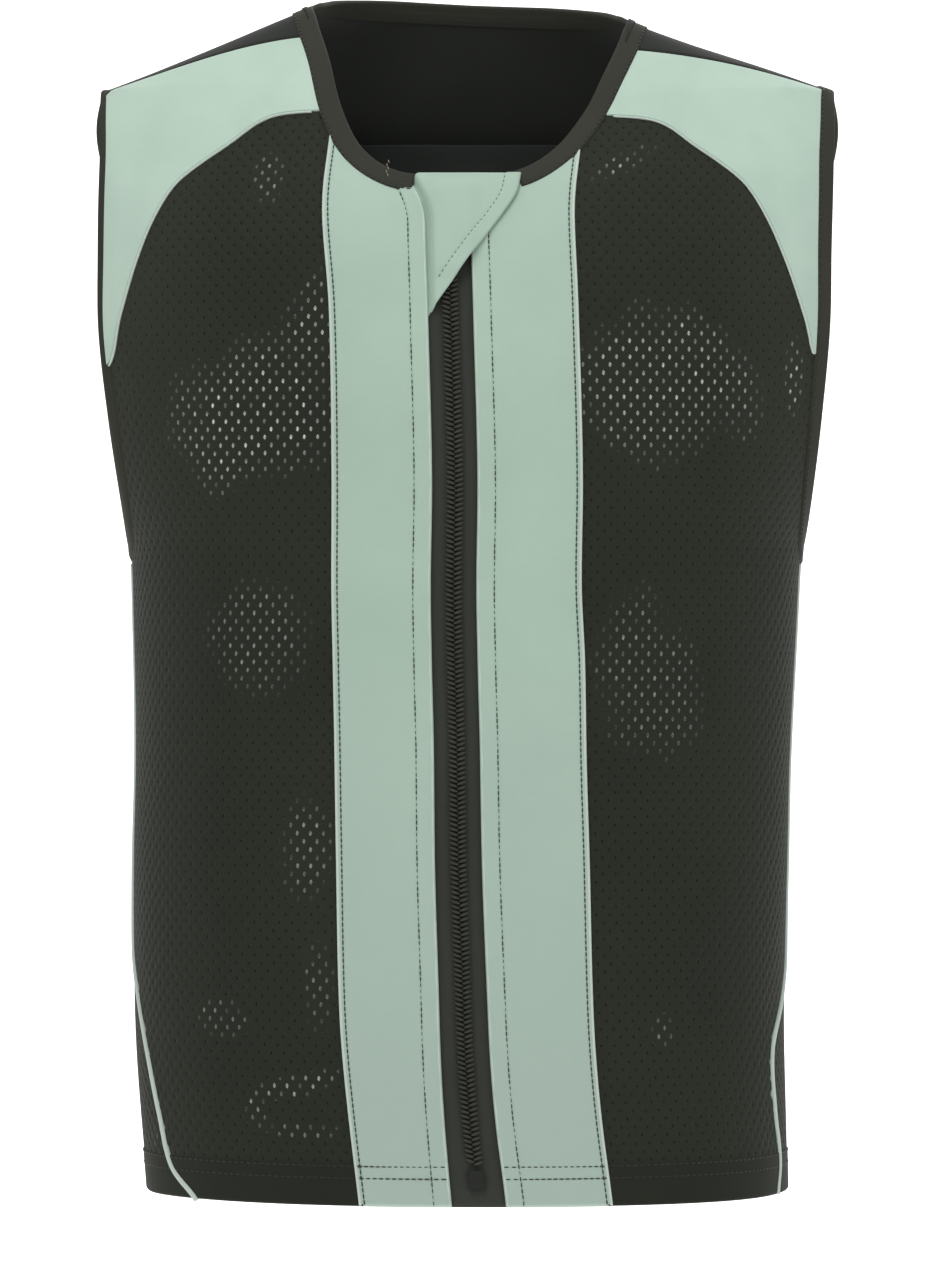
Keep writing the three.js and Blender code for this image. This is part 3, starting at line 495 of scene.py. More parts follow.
# colour and bump that a yarn makes, read from the piece's flat map in millimetres
def clothMaterial(name, s):
    material = bpy.data.materials.new(name)
    material.use_nodes = True
    nodes, links = material.node_tree.nodes, material.node_tree.links
    shader = nodes["Principled BSDF"]

    def node(kind, inputs=None, **values):
        made = nodes.new(kind)
        for key, value in values.items():
            setattr(made, key, value)
        setInputs(made, inputs or {})
        return made

    def math2(operation, a, b=None):
        made = node("ShaderNodeMath", operation=operation)
        for socket, value in zip(made.inputs, (a, b)):
            if isinstance(value, (int, float)):
                socket.default_value = value
            elif value is not None:
                links.new(value, socket)
        return made.outputs[0]

    def ranged(value, low, high, toLow, toHigh):
        limits = {"From Min": low, "From Max": high, "To Min": toLow, "To Max": toHigh}
        made = node("ShaderNodeMapRange", limits)
        links.new(value, made.inputs["Value"])
        return made.outputs["Result"]

    def mixed(factor, a, b, blend="MIX"):
        made = node("ShaderNodeMix", data_type="RGBA", blend_type=blend)
        sockets = {i.identifier: i for i in made.inputs}
        for key, value in (("Factor_Float", factor), ("A_Color", a), ("B_Color", b)):
            if isinstance(value, (int, float, tuple)):
                sockets[key].default_value = value
            else:
                links.new(value, sockets[key])
        return {o.identifier: o for o in made.outputs}["Result_Color"]

    place = node("ShaderNodeTexCoord").outputs["Object"]
    if s.get("rigid"):  # no flat map, so millimetres of the object's own place
        inMm = node("ShaderNodeVectorMath", {"Scale": 1 / mm}, operation="SCALE")
        links.new(place, inMm.inputs[0])
        flat = inMm.outputs[0]
    else:
        flat = node("ShaderNodeUVMap", uv_map="flat").outputs["UV"]

    def axis(name):
        apart = node("ShaderNodeSeparateXYZ")
        links.new(place, apart.inputs[0])
        return apart.outputs[name]

    def wave(direction, pitch):
        made = node(
            "ShaderNodeTexWave",
            {"Scale": math.pi / 10 / pitch, "Distortion": 0.6, "Detail": 1, "Detail Scale": 1.5},
            wave_type="BANDS", bands_direction=direction, wave_profile="SIN",
        )
        links.new(flat, made.inputs["Vector"])
        return made.outputs["Fac"]

    def noise(vector, scale, detail, rough):
        made = node("ShaderNodeTexNoise", {"Scale": scale, "Detail": detail, "Roughness": rough})
        links.new(vector, made.inputs["Vector"])
        return made.outputs["Fac"]

    yarn = math2("MULTIPLY", wave("X", s["across"]), wave("Y", s["along"]))
    fibre = noise(flat, 3.2, 4, 0.7)
    cloudy = noise(place, s.get("cloud", 11), 3, 0.5)
    height = math2("ADD", math2("MULTIPLY", yarn, 0.75), math2("MULTIPLY", fibre, 0.25))
    tone = math2("ADD", math2("MULTIPLY", height, s["yarnTone"]), 1 - s["yarnTone"] * 0.55)
    colour = mixed(ranged(cloudy, 0.3, 0.7, 0, 1), srgb(*s["colour"]), srgb(*s["second"]))
    if "low" in s:  # another shade toward the hem
        colour = mixed(ranged(axis("Z"), s["lowFrom"], s["lowTo"], 0, 1), colour, srgb(*s["low"]))
    if "side" in s:  # painted sheen: paler where the cloth turns to the sides, as the light catches it there
        out = ranged(math2("ABSOLUTE", axis("X")), s["sideFrom"], s["sideTo"], 0, 1)
        sideSheen = math2("MULTIPLY", out, ranged(cloudy, 0.3, 0.7, 0.4, 1))
        colour = mixed(sideSheen, colour, srgb(*s["side"]))
    grey = node("ShaderNodeCombineColor")
    for socket in grey.inputs[:3]:
        links.new(tone, socket)
    colour = mixed(1.0, colour, grey.outputs[0], "MULTIPLY")
    if "lightThroughSpots" in s:  # painted light: the eyelets' rims turn pale in spots, as light seen through them from close behind would
        rim = node("ShaderNodeAttribute", attribute_name="rim").outputs["Fac"]
        total = None
        wander = noise(place, 26, 2, 0.5)  # makes the outlines of the painted light spots wander
        for x, z, wide, tall, turn, strength in s["lightThroughSpots"]:
            shifted = node("ShaderNodeMapping", {
                "Location": (x, 0, z), "Rotation": (0, -math.radians(turn), 0), "Scale": (wide, 100, tall),
            }, vector_type="TEXTURE")
            links.new(place, shifted.inputs["Vector"])
            size = node("ShaderNodeVectorMath", operation="LENGTH")
            links.new(shifted.outputs[0], size.inputs[0])
            reach = math2("ADD", size.outputs["Value"], ranged(wander, 0.3, 0.7, -0.3, 0.3))
            throughLight = ranged(reach, 0.6, 1.1, strength, 0)
            total = throughLight if total is None else math2("MAXIMUM", total, throughLight)
        speckle = ranged(noise(flat, 0.16, 2, 0.6), 0.36, 0.62, 0.2, 1)
        shown = math2("MULTIPLY", math2("MULTIPLY", total, speckle), ranged(axis("Y"), -0.03, -0.05, 0, 1))
        rimmed = ranged(rim, 0.8, 1.0, 0, 1)
        colour = mixed(math2("MULTIPLY", shown, rimmed), colour, srgb(*s["pale"]))
    links.new(colour, shader.inputs["Base Color"])
    links.new(ranged(fibre, 0.2, 0.8, s["rough"] - 0.08, s["rough"] + 0.08), shader.inputs["Roughness"])
    bump = node("ShaderNodeBump", {"Strength": s.get("bump", 0.5), "Distance": 0.12 * mm})
    links.new(height, bump.inputs["Height"])
    links.new(bump.outputs[0], shader.inputs["Normal"])
    setInputs(shader, {
        "Sheen Weight": s.get("sheen", 0.2), "Sheen Roughness": 0.5,
        "Specular IOR Level": s.get("specular", 0.3), "Metallic": s.get("metal", 0),
    })
    materials[name] = material


clothMaterial("paleCloth", {
    "colour": (180, 204, 187), "second": (172, 196, 180), "low": (174, 194, 182), "lowFrom": -0.3,
    "lowTo": -0.52, "across": 0.55, "along": 0.8, "yarnTone": 0.16, "rough": 0.7, "sheen": 0.2,
    "bump": 0.45, "cloud": 16,
})
# the yokes get a lighter copy of the pale cloth: painted light from above on their upturned faces
clothMaterial("paleClothLitFromAbove", {
    "colour": (194, 217, 201), "second": (184, 209, 193), "across": 0.55, "along": 0.8,
    "yarnTone": 0.16, "rough": 0.7, "sheen": 0.2, "bump": 0.45, "cloud": 24,
})
darkMesh = {
    # side, sideFrom and sideTo give a painted sheen, paler toward the sides
    "colour": (44, 47, 38), "second": (39, 42, 34), "side": (54, 57, 49), "sideFrom": 0.12,
    "sideTo": 0.165, "across": 0.8, "along": 0.95, "yarnTone": 0.3, "rough": 0.85, "sheen": 0.03,
    "specular": 0.2, "bump": 0.4,
}
# a darker copy of the mesh colour for the plain hem band: painted shade of the dark eyelets it lacks
clothMaterial("darkMeshHemShaded", darkMesh | {"colour": (40, 43, 35), "second": (35, 38, 30)})
clothMaterial("darkMesh", darkMesh | {
    # pale is the painted light seen through the eyelets, and the spots below list where it is painted
    "pale": (226, 228, 220),
    # across, up, half width, half height, turn up to the wearer's left in degrees, strength
    "lightThroughSpots": [
        (-0.1, -0.186, 0.045, 0.031, 20, 1), (-0.074, -0.15, 0.014, 0.026, 0, 0.8),
        (-0.099, -0.293, 0.026, 0.031, 10, 0.55), (-0.0775, -0.398, 0.015, 0.028, 0, 0.6),
        (-0.072, -0.46, 0.009, 0.022, 0, 0.45), (-0.118, -0.479, 0.012, 0.009, 0, 0.45),
        (-0.084, -0.511, 0.022, 0.006, 14, 0.8), (-0.102, -0.522, 0.005, 0.011, 0, 0.6),
        (-0.08, -0.532, 0.018, 0.004, 0, 0.5), (-0.152, -0.538, 0.004, 0.009, 0, 0.4),
        (-0.0968, -0.069, 0.008, 0.017, 0, 0.6), (-0.076, -0.131, 0.006, 0.02, -25, 0.5),
        (0.075, -0.062, 0.019, 0.007, 28, 0.7), (0.095, -0.17, 0.042, 0.038, -12, 0.9),
        (0.16, -0.165, 0.004, 0.021, 0, 0.9), (0.0886, -0.319, 0.024, 0.045, 8, 0.5),
        (0.096, -0.483, 0.006, 0.009, 0, 0.4),
    ],
})
clothMaterial("darkCloth", {
    "colour": (37, 40, 36), "second": (33, 36, 32), "across": 0.5, "along": 0.6, "yarnTone": 0.3,
    "rough": 0.85, "sheen": 0.1,
})
clothMaterial("binding", {
    "colour": (58, 58, 50), "second": (52, 52, 45), "across": 0.7, "along": 0.9, "yarnTone": 0.35,
    "rough": 0.8, "sheen": 0.05, "specular": 0.2,
})
clothMaterial("piping", {
    "colour": (205, 218, 208), "second": (196, 211, 200), "across": 0.5, "along": 0.6,
    "yarnTone": 0.2, "rough": 0.6, "sheen": 0.2,
})
# a paler copy of the pale cloth for the turned edges: a painted highlight along each fold
clothMaterial("paleEdgeHighlight", {
    "colour": (208, 222, 211), "second": (198, 214, 202), "across": 0.5, "along": 0.6,
    "yarnTone": 0.2, "rough": 0.65, "sheen": 0.2,
})
for name, colour, second in (
    ("thread", (57, 69, 62), (49, 59, 53)), ("darkThread", (34, 35, 31), (28, 29, 26)),
    ("beigeThread", (150, 142, 122), (132, 124, 106)),
):
    clothMaterial(name, {
        "colour": colour, "second": second, "across": 0.25, "along": 0.3, "yarnTone": 0.3, "rough": 0.6,
    })
clothMaterial("tape", {
    "colour": (58, 61, 54), "second": (52, 55, 48), "across": 0.7, "along": 0.5, "yarnTone": 0.5,
    "rough": 0.85,
})
clothMaterial("coil", {
    "colour": (62, 62, 55), "second": (55, 55, 49), "across": 0.4, "along": 0.4, "yarnTone": 0.2,
    "rough": 0.6, "specular": 0.3, "sheen": 0,
})
clothMaterial("metal", {
    "colour": (52, 52, 50), "second": (62, 61, 58), "across": 0.3, "along": 0.3, "yarnTone": 0.1,
    "rough": 0.35, "metal": 0.8, "specular": 0.5, "sheen": 0, "rigid": True, "cloud": 300,
})
clothMaterial("zipPlastic", {
    "colour": (40, 42, 38), "second": (36, 38, 34), "across": 0.4, "along": 0.4, "yarnTone": 0.15,
    "rough": 0.75, "specular": 0.25, "sheen": 0, "rigid": True, "cloud": 300,
})
clothMaterial("padCover", {
    "colour": (31, 35, 32), "second": (28, 31, 29), "across": 0.5, "along": 0.6, "yarnTone": 0.25,
    "rough": 0.9, "sheen": 0.1,
})
print("materials made", len(materials))


# eyelet mesh: cells of a slanted grid, each with a tapered hole
eyelet = {
    "across": 6.6, "rows": 7.9, "holeAcross": 0.7, "holeUp": 1.7, "back": 0.15, "dimple": 0.05,
    "wall": 0.9, "lift": 0.2, "fromEdge": 0.9, "aboveHem": 5, "under": 4, "fromNeck": 5,
    "cut": {-1: 1.5, 1: 3}, "frontSpan": (50, 262), "backSpan": (-6, 300), "backTop": 60,
}
around = {"z": np.linspace(30, hemTop - 6, 220), "angle": np.linspace(0, np.pi, 241), "steps": 600}


def anglePoint(angle, z, side):
    half, front, back = sectionAt(z)
    c, power = np.cos(angle), 2 / vest["squareness"]
    depth = np.where(c > 0, -front, back)
    return np.stack([side * half * np.abs(np.sin(angle)) ** power, depth * np.abs(c) ** power, z], axis=-1)


# angle by height and distance round from the middle of the chest or of the back
def makeRound(fromBack):
    rows = []
    run = np.linspace(0, 420, around["steps"])
    for z in around["z"]:
        p = anglePoint(around["angle"], np.full(len(around["angle"]), z), 1)
        length = runAlong(p)
        if fromBack:
            rows.append(np.interp(run, (length[-1] - length)[::-1], around["angle"][::-1]))
        else:
            rows.append(np.interp(run, length, around["angle"]))
    column = math.radians(135 if fromBack else 45)
    p = anglePoint(np.full(len(around["z"]), column), around["z"], 1)
    return {"angle": np.array(rows), "down": runAlong(p), "run": run}


rounds = {back: makeRound(back) for back in (False, True)}


# distance across and down the cloth to a place on the surface
def roundPlace(u, v, back):
    r = rounds[back]
    z = np.interp(v, r["down"], around["z"])
    i = np.interp(-z, -around["z"], np.arange(len(around["z"])))
    j = np.interp(np.abs(u), r["run"], np.arange(len(r["run"])))
    i0 = np.clip(i.astype(int), 0, len(around["z"]) - 2)
    j0 = np.clip(j.astype(int), 0, len(r["run"]) - 2)
    a, b = i - i0, j - j0
    t = r["angle"]
    angle = (
        t[i0, j0] * (1 - a) * (1 - b) + t[i0 + 1, j0] * a * (1 - b)
        + t[i0, j0 + 1] * (1 - a) * b + t[i0 + 1, j0 + 1] * a * b
    )
    return anglePoint(angle, z, np.where(u < 0, -1.0, 1.0))


def eyeletPiece(name, spanU, spanV, back, inside, replaced=()):
    sizeU, sizeV = eyelet["across"] / 2, eyelet["rows"] / 2
    middle = np.array([(spanU[0] + spanU[1]) / 2, (spanV[0] + spanV[1]) / 2])
    middle = np.round(middle / (2 * sizeU, 2 * sizeV)) * (2 * sizeU, 2 * sizeV)
    wide, tall = spanU[1] - spanU[0], spanV[1] - spanV[0]
    count = 2 * math.ceil((wide / sizeU + tall / sizeV) / 4) + 4
    bm = bmesh.new()
    bmesh.ops.create_grid(bm, x_segments=count, y_segments=count, size=count / 2)
    turn = Matrix.Rotation(math.radians(45), 4, "Z")
    scale = Matrix.Diagonal((sizeU * math.sqrt(2), sizeV * math.sqrt(2), 1, 1))
    bmesh.ops.transform(bm, matrix=scale @ turn, verts=bm.verts)
    centre = np.array([f.calc_center_median()[:2] for f in bm.faces])
    at = centre * (1, -1) + middle
    near = (np.abs(at[:, 0] - middle[0]) < wide / 2) & (np.abs(at[:, 1] - middle[1]) < tall / 2)
    keep = near & inside(roundPlace(at[:, 0], at[:, 1], back), at[:, 0])
    bm.faces.ensure_lookup_table()
    bmesh.ops.delete(bm, geom=[bm.faces[i] for i in np.nonzero(~keep)[0]], context="FACES")
    bmesh.ops.bisect_edges(bm, edges=bm.edges[:], cuts=1)
    cells = bm.faces[:]
    bmesh.ops.inset_individual(bm, faces=cells, thickness=0.8, depth=0)
    for cell in cells:
        mid = cell.calc_center_median()
        for vert in cell.verts:
            angle = math.atan2((vert.co.y - mid.y) / sizeV, (vert.co.x - mid.x) / sizeU)
            vert.co.x = mid.x + math.cos(angle) * eyelet["holeAcross"] / 2
            vert.co.y = mid.y + math.sin(angle) * eyelet["holeUp"] / 2
    bmesh.ops.delete(bm, geom=cells, context="FACES_ONLY")
    bmesh.ops.recalc_face_normals(bm, faces=bm.faces[:])
    bmesh.ops.solidify(bm, geom=bm.faces[:], thickness=eyelet["wall"])
    for face in bm.faces:  # the walls of the holes and borders meet the cloth at a crisp edge
        heights = [vert.co.z for vert in face.verts]
        face.smooth = max(heights) - min(heights) < eyelet["wall"] / 2
    mesh = meshFrom(name, bm)
    co = coordsOf(mesh)
    co[:, 2] -= co[:, 2].max()
    # where each point stands in its own cell
    a = (co[:, 0] / sizeU + co[:, 1] / sizeV) / 2
    b = (co[:, 0] / sizeU - co[:, 1] / sizeV) / 2
    ca, cb = np.floor(a) + 0.5, np.floor(b) + 0.5
    dx, dy = co[:, 0] - (ca + cb) * sizeU, co[:, 1] - (ca - cb) * sizeV
    rim = np.hypot(dx / eyelet["holeAcross"], dy / eyelet["holeUp"]) < 0.75
    behind = co[:, 2] < -eyelet["wall"] / 2
    narrow = (rim & behind)[:, None]
    moved = np.stack([dx, dy], axis=1) * (eyelet["back"] - 1)
    co[:, :2] += np.where(narrow, moved, 0)
    co[:, 2] -= np.where(rim & ~behind, eyelet["dimple"], 0)
    flat = co[:, :2] * (1, -1) + middle
    place = roundPlace(flat[:, 0], flat[:, 1], back)
    place[:, 2] = np.maximum(place[:, 2], hemTop + eyelet["aboveHem"])
    for _ in range(2):  # no cell reaches over the armhole's edge
        way = place[:, 1:] - (0, armholeMid)
        way /= np.linalg.norm(way, axis=1, keepdims=True)
        place[:, 1:] += way * np.maximum(0, eyelet["fromEdge"] - outsideBy(place))[:, None]
    setCoords(mesh, lay(place, eyelet["lift"] + co[:, 2]) * mm)
    keepFlat(mesh, flat)
    attribute = mesh.attributes.new("rim", "FLOAT", "POINT")
    attribute.data.foreach_set("value", rim.astype(np.float32))
    faceOut(mesh)
    piece = addPiece(name, mesh, "darkMesh", replaced, False)
    return piece


yokeCurve = yokeLine()
armholeCurve = armholeOutline()
armholeCurve = np.vstack([armholeCurve, armholeCurve[:1]])
withinSign = np.sign(beyondLine(np.array([[0.0, armholeMid]]), armholeCurve)[0])


# how far points lie outside the armhole's edge
def outsideBy(p):
    return -withinSign * beyondLine(p[:, 1:], armholeCurve)


def belowYoke(p, side, overlap):
    return beyondLine(p[:, [0, 2]], yokeCurve * (side, 1)) * side < overlap


def outsideNeck(p, distance):
    line = neckOutline(-1)
    away = beyondLine(p[:, [0, 2]], line)
    below = beyondLine(np.array([[0.0, -200.0]]), line)[0]
    return (np.sign(below) * away > distance) | (p[:, 1] > 0)


for side, word in hands:

    def insideFront(p, u, side=side):
        return (
            (side * p[:, 0] > side * panelEdge(p[:, 2], side) - eyelet["under"])
            & belowYoke(p, side, eyelet["under"])
            & (outsideBy(p) > eyelet["cut"][side])
            & outsideNeck(p, eyelet["fromNeck"])
            & (p[:, 1] < -seamForward(p[:, 2], side) + 0.5)
            & (p[:, 2] > hemTop + eyelet["aboveHem"])
        )

    spanU = sorted(side * reach for reach in eyelet["frontSpan"])
    made = eyeletPiece(
        "front_mesh_panel_" + word, spanU, (0, rounds[False]["down"][-1]), False, insideFront,
        ["front_mesh_" + word],
    )
    print("front mesh", word, len(made.data.polygons))

for side, word in hands:

    def insideBack(p, u, side=side):
        return (
            (p[:, 2] < backYokeLine + eyelet["under"])
            & ((u * side > 0.1) | ((side > 0) & (u > -0.1)))
            & (outsideBy(p) > eyelet["cut"][side])
            & (p[:, 1] > -seamForward(p[:, 2], side) + 2.5)
            & (p[:, 2] > hemTop + eyelet["aboveHem"])
        )

    spanU = sorted(side * reach for reach in eyelet["backSpan"])
    made = eyeletPiece(
        "back_mesh_panel_" + word, spanU, (eyelet["backTop"], rounds[True]["down"][-1]), True, insideBack,
        ["back_panel"],
    )
    print("back mesh", word, len(made.data.polygons))


# a patch between four edges
def patchPlace(top, bottom, left, right, u, v):
    u, v = u[:, None], v[:, None]
    t, b = along(top, u[:, 0]), along(bottom, u[:, 0])
    s, e = along(left, v[:, 0]), along(right, v[:, 0])
    corners = (
        (1 - u) * (1 - v) * top[0] + u * (1 - v) * top[-1] + (1 - u) * v * bottom[0] + u * v * bottom[-1]
    )
    return (1 - v) * t + v * b + (1 - u) * s + u * e - corners


def patchFlat(top, left, u, v):
    return np.stack([u * curveLength(top), v * curveLength(left)], axis=1)


# a part of an edge curve, moved aside over the surface
def movedCurve(curve, aside, closed=False):
    way = np.roll(curve, -1, 0) - np.roll(curve, 1, 0)
    if not closed:
        way[0], way[-1] = curve[1] - curve[0], curve[-1] - curve[-2]
    way /= np.linalg.norm(way, axis=1, keepdims=True)
    turned = np.cross(normalAt(curve), way)
    return ontoSurface(curve + turned * aside)


# shoulder yokes; the wearer's right one reaches nearly to the edge, under a thin lip of binding
yoke = {"lift": 1.0, "wall": 1.1, "under": 3.5, "thinUnder": 1.2, "hem": 0.9, "crease": 0.22, "creases": 23}
neckMoved = movedCurve(neckEdge, -yoke["under"])
armMoved = {
    side: movedCurve(armholeEdge[side], side * (yoke["thinUnder"] if side < 0 else yoke["under"]), True)
    for side in (-1, 1)
}


def shoulderSeam(side, start, end, count=60):
    x = np.linspace(start, end, count)
    share = np.clip((x - vest["neckHalf"]) / (vest["shoulderHalf"] - vest["neckHalf"]), -0.1, 1)
    y = -vest["shoulderSeamForward"] * (1 - share / 2)
    return ridgePoint(side * x, y)


def yokeEdges(side):
    # the neck edge from the shoulder seam down to the yoke's seam
    front = neckMoved[(neckMoved[:, 0] * side > 0) & (neckMoved[:, 1] < -vest["shoulderSeamForward"] + 1)]
    front = front[::-1] if front[0, 2] < front[-1, 2] else front
    line = yokeCurve * (side, 1)
    left = front[~belowYoke(front, side, 0)]
    arm = armMoved[side]
    arm = arm[(arm[:, 1] < -vest["shoulderSeamForward"] / 2 + 1)]
    arm = arm[np.argsort(-arm[:, 2])]
    right = arm[~belowYoke(arm, side, 0)]
    xs = line[:, 0] * side
    inner = np.abs(left[-1, 0])
    outer = np.abs(right[-1, 0])
    low = line[(xs > inner + 0.5) & (xs < outer - 0.5)]
    bottom = np.vstack([left[-1:], facePoint(low[:, 0], low[:, 1]), right[-1:]])
    seam = shoulderSeam(side, np.abs(left[0, 0]) + 0.5, np.abs(right[0, 0]) - 0.5)
    top = np.vstack([left[:1], seam, right[:1]])
    return top, bottom, left, right


for side, word in hands:
    top, bottom, left, right = yokeEdges(side)

    def yokeShape(u, v):
        place = patchPlace(top, bottom, left, right, u, v)
        down = v * curveLength(left)
        fromSeam = (1 - v) * (curveLength(left) * (1 - u) + curveLength(right) * u)
        lift = yoke["lift"] + edgeRoll(fromSeam, yoke["hem"]) + edgeRoll(down, yoke["hem"])
        # faint soft creases that run down from the shoulder
        crease = np.sin(u * yoke["creases"] + 1.3 * np.sin(3 * v) + side)
        crease = crease * np.sin(np.pi * v) * smoothstep(0, 0.3, v)
        return place, lift + yoke["crease"] * crease, patchFlat(top, right, u, v)

    clothPiece(
        "yoke_cloth_" + word, 70, 100, yokeShape, yoke["wall"], "paleClothLitFromAbove",
        ["shoulder_yoke_" + word],
    )
print("yokes made")


# centre panels beside the zip: folded and stitched along the placket, turned along the outer edge
panel = {
    "lift": 1.0, "wall": 1.6, "under": 3.5, "roll": 1.1, "placket": 8.6, "fold": 0.55, "turned": 2.3,
    "groove": 0.4, "grooveHalf": 0.75, "hems": (13.5, 19.3), "pucker": 0.16, "puckerPitch": 19,
    "puckerReach": 9, "waver": 3, "waverPitch": 31, "foldFrom": 0.6, "foldTo": -0.9,
    "cornerDrop": 3.4, "cornerFrom": 0.35, "cornerTo": 0.1, "outerDrop": 9, "outerFrom": 0.78,
}
# more of the grid's columns stand near the two edges and the placket's stitching
panelColumns = table(
    "grid cloth",
    (0, 0), (0.12, 0.035), (0.24, 0.13), (0.44, 0.22), (0.56, 0.33), (0.76, 0.8), (0.9, 0.93), (1, 1),
)


def grooveAt(distance):
    return -panel["groove"] * np.exp(-((distance / panel["grooveHalf"]) ** 2))


for side, word in hands:

    def panelShape(u, v, side=side):
        u = np.interp(u, panelColumns["grid"], panelColumns["cloth"])
        start = readNeck(vest["neckHalf"] * 0.5)
        inX, outX = placketEdge(start, side), panelEdge(start, side)
        x0 = inX + (outX - inX) * u
        top = readNeck(x0) - panel["under"]
        top = top - panel["cornerDrop"] * smoothstep(panel["cornerFrom"], panel["cornerTo"], u)
        top = top - panel["outerDrop"] * smoothstep(panel["outerFrom"], 1, u)
        z = top + (hemTop - top) * v
        inX, outX = placketEdge(z, side), panelEdge(z, side)
        x = inX + (outX - inX) * u
        wide = np.abs(outX - inX)
        inner, outer, up = u * wide, (1 - u) * wide, z - hemTop
        lift = panel["lift"] + edgeRoll(inner, panel["roll"]) + edgeRoll(outer, panel["roll"])
        lift = lift + edgeRoll(up, panel["roll"]) + grooveAt(inner - panel["placket"])
        folded = inner - panel["placket"]
        lift += panel["fold"] * smoothstep(panel["foldFrom"], panel["foldTo"], folded)
        lift += grooveAt(outer - panel["turned"]) + sum(grooveAt(up - row) for row in panel["hems"])
        # the stitching draws the cloth up a little beside the placket
        near = np.exp(-((folded / panel["puckerReach"]) ** 2))
        wavering = z + panel["waver"] * np.sin(z / panel["waverPitch"])
        lift += panel["pucker"] * near * np.sin(2 * np.pi * wavering / panel["puckerPitch"] + side)
        return facePoint(x, z), lift, np.stack([u * wide, -z], axis=1)

    clothPiece(
        "centre_cloth_" + word, 76, 300, panelShape, panel["wall"], "paleCloth",
        ["centre_panel_" + word],
    )
print("centre panels made")


# strips swept along an edge: section gives a closed outline of distances aside and lifts, and
# lip the share of those distances that the outer half keeps at each ring
def sweptPiece(name, curve, aside, section, closed, material, replaced=(), lip=None):
    rings = len(curve)
    count = len(section)
    bm = unitGrid(count, rings if closed else rings - 1)
    mesh = meshFrom(name, bm)
    co = coordsOf(mesh)
    along2 = np.rint(co[:, 1] * (rings if closed else rings - 1)).astype(int) % rings
    round2 = np.rint(co[:, 0] * count).astype(int)
    if closed:
        way = np.roll(curve, -1, 0) - np.roll(curve, 1, 0)
    else:
        way = np.gradient(curve, axis=0)
    way /= np.linalg.norm(way, axis=1, keepdims=True)
    turned = np.cross(normalAt(curve), way) * aside
    turned /= np.linalg.norm(turned, axis=1, keepdims=True)
    outline = np.array(section)[round2 % count]
    if lip is not None:
        outline[:, 0] *= np.where(outline[:, 1] > 0, lip[along2], 1)
    base = curve[along2] + turned[along2] * outline[:, :1]
    placed = ontoSurface(base)
    placed = placed + normalAt(placed) * outline[:, 1:]
    girth = runAlong(np.array([*section, section[0]]))
    total = curveLength(curve) + (np.linalg.norm(curve[0] - curve[-1]) if closed else 0)
    flat = np.stack([girth[round2], co[:, 1] * total], axis=1)
    setCoords(mesh, hang(placed) * mm)
    keepFlat(mesh, flat)
    bm = bmesh.new()
    bm.from_mesh(mesh)
    bmesh.ops.remove_doubles(bm, verts=bm.verts, dist=1e-6)
    if not closed:
        bmesh.ops.holes_fill(bm, edges=[e for e in bm.edges if e.is_boundary], sides=0)
    bmesh.ops.recalc_face_normals(bm, faces=bm.faces[:])
    bm.to_mesh(mesh)
    bm.free()
    return addPiece(name, mesh, material, replaced)


# the outline of a folded strip: width from the edge, thick at the fold and thinner at its hem
def foldedSection(width, wall, hem, ribs=0, ribDepth=0.0, count=26):
    outer = []
    for i in range(count + 1):
        t = i / count
        w = width * t
        half = wall / 2 + (hem - wall) / 2 * smoothstep(0.6, 1, t)
        edge = min(1.0, w / 1.3, (width - w) / 0.6)
        lift = half * math.sqrt(max(0, 1 - (1 - edge) ** 2))
        rib = ribDepth * math.cos(2 * math.pi * ribs * t) if ribs else 0
        outer.append((w, lift + rib * min(1, edge)))
    inner = [(w, -l) for w, l in outer[-2:0:-1]]
    return outer + inner


binding = {
    "wall": 3.4, "hem": 2.7, "ribs": 4, "ribDepth": 0.05, "neckWidth": 11, "armWidth": 9, "lip": 2.6,
    "lowLip": 6.5,
}


def bindingSection(width):
    return foldedSection(width, binding["wall"], binding["hem"], binding["ribs"], binding["ribDepth"])


sweptPiece(
    "neck_edge_binding", neckEdge, -1, bindingSection(binding["neckWidth"]), False,
    "binding", ["neck_binding"],
)
for side, word in hands:
    # the wearer's right binding is folded mostly to the inside, so only a lip of it shows
    low = smoothstep(armholeMid, tipTop - vest["armholeHeight"], armholeEdge[side][:, 2])
    lip = (binding["lip"] + (binding["lowLip"] - binding["lip"]) * low) / binding["armWidth"]
    sweptPiece(
        "armhole_edge_binding_" + word, armholeEdge[side], side, bindingSection(binding["armWidth"]), True,
        "binding", ["armhole_binding_" + word], lip if side < 0 else None,
    )
print("bindings made")


def roundSection(width, wall, lift, steps=12):
    turns = [2 * math.pi * i / steps for i in range(steps)]
    return [(width / 2 * (1 - math.cos(a)), lift + wall / 2 * math.sin(a)) for a in turns]


piping = {"width": 3.2, "wall": 2.6, "lift": 0.2, "below": 8.5}
for side, word in hands:
    z = np.linspace(tipTop - vest["armholeHeight"] - piping["below"], hemTop + 0.5, 160)
    sweptPiece(
        "side_seam_piping_" + word, ontoSurface(sidePoint(-seamForward(z, side), z, side)), side,
        roundSection(piping["width"], piping["wall"], piping["lift"]), False, "piping",
        ["side_piping_" + word],
    )

# the pale cloth's turned edges catch the light as a narrow roll, and their paler colour is a painted
# highlight: width, wall and lift of each, then where they run
turnedEdge = {
    "centre": (1.5, 1.5, 0.62), "placket": (1.1, 1.5, 0.92), "yoke": (1.1, 1.3, 0.62),
    "centreInset": 1, "centreStart": 13, "placketInset": 0.4, "placketStart": 9,
    "yokeFrom": 0.06, "yokeTo": 0.975,
}


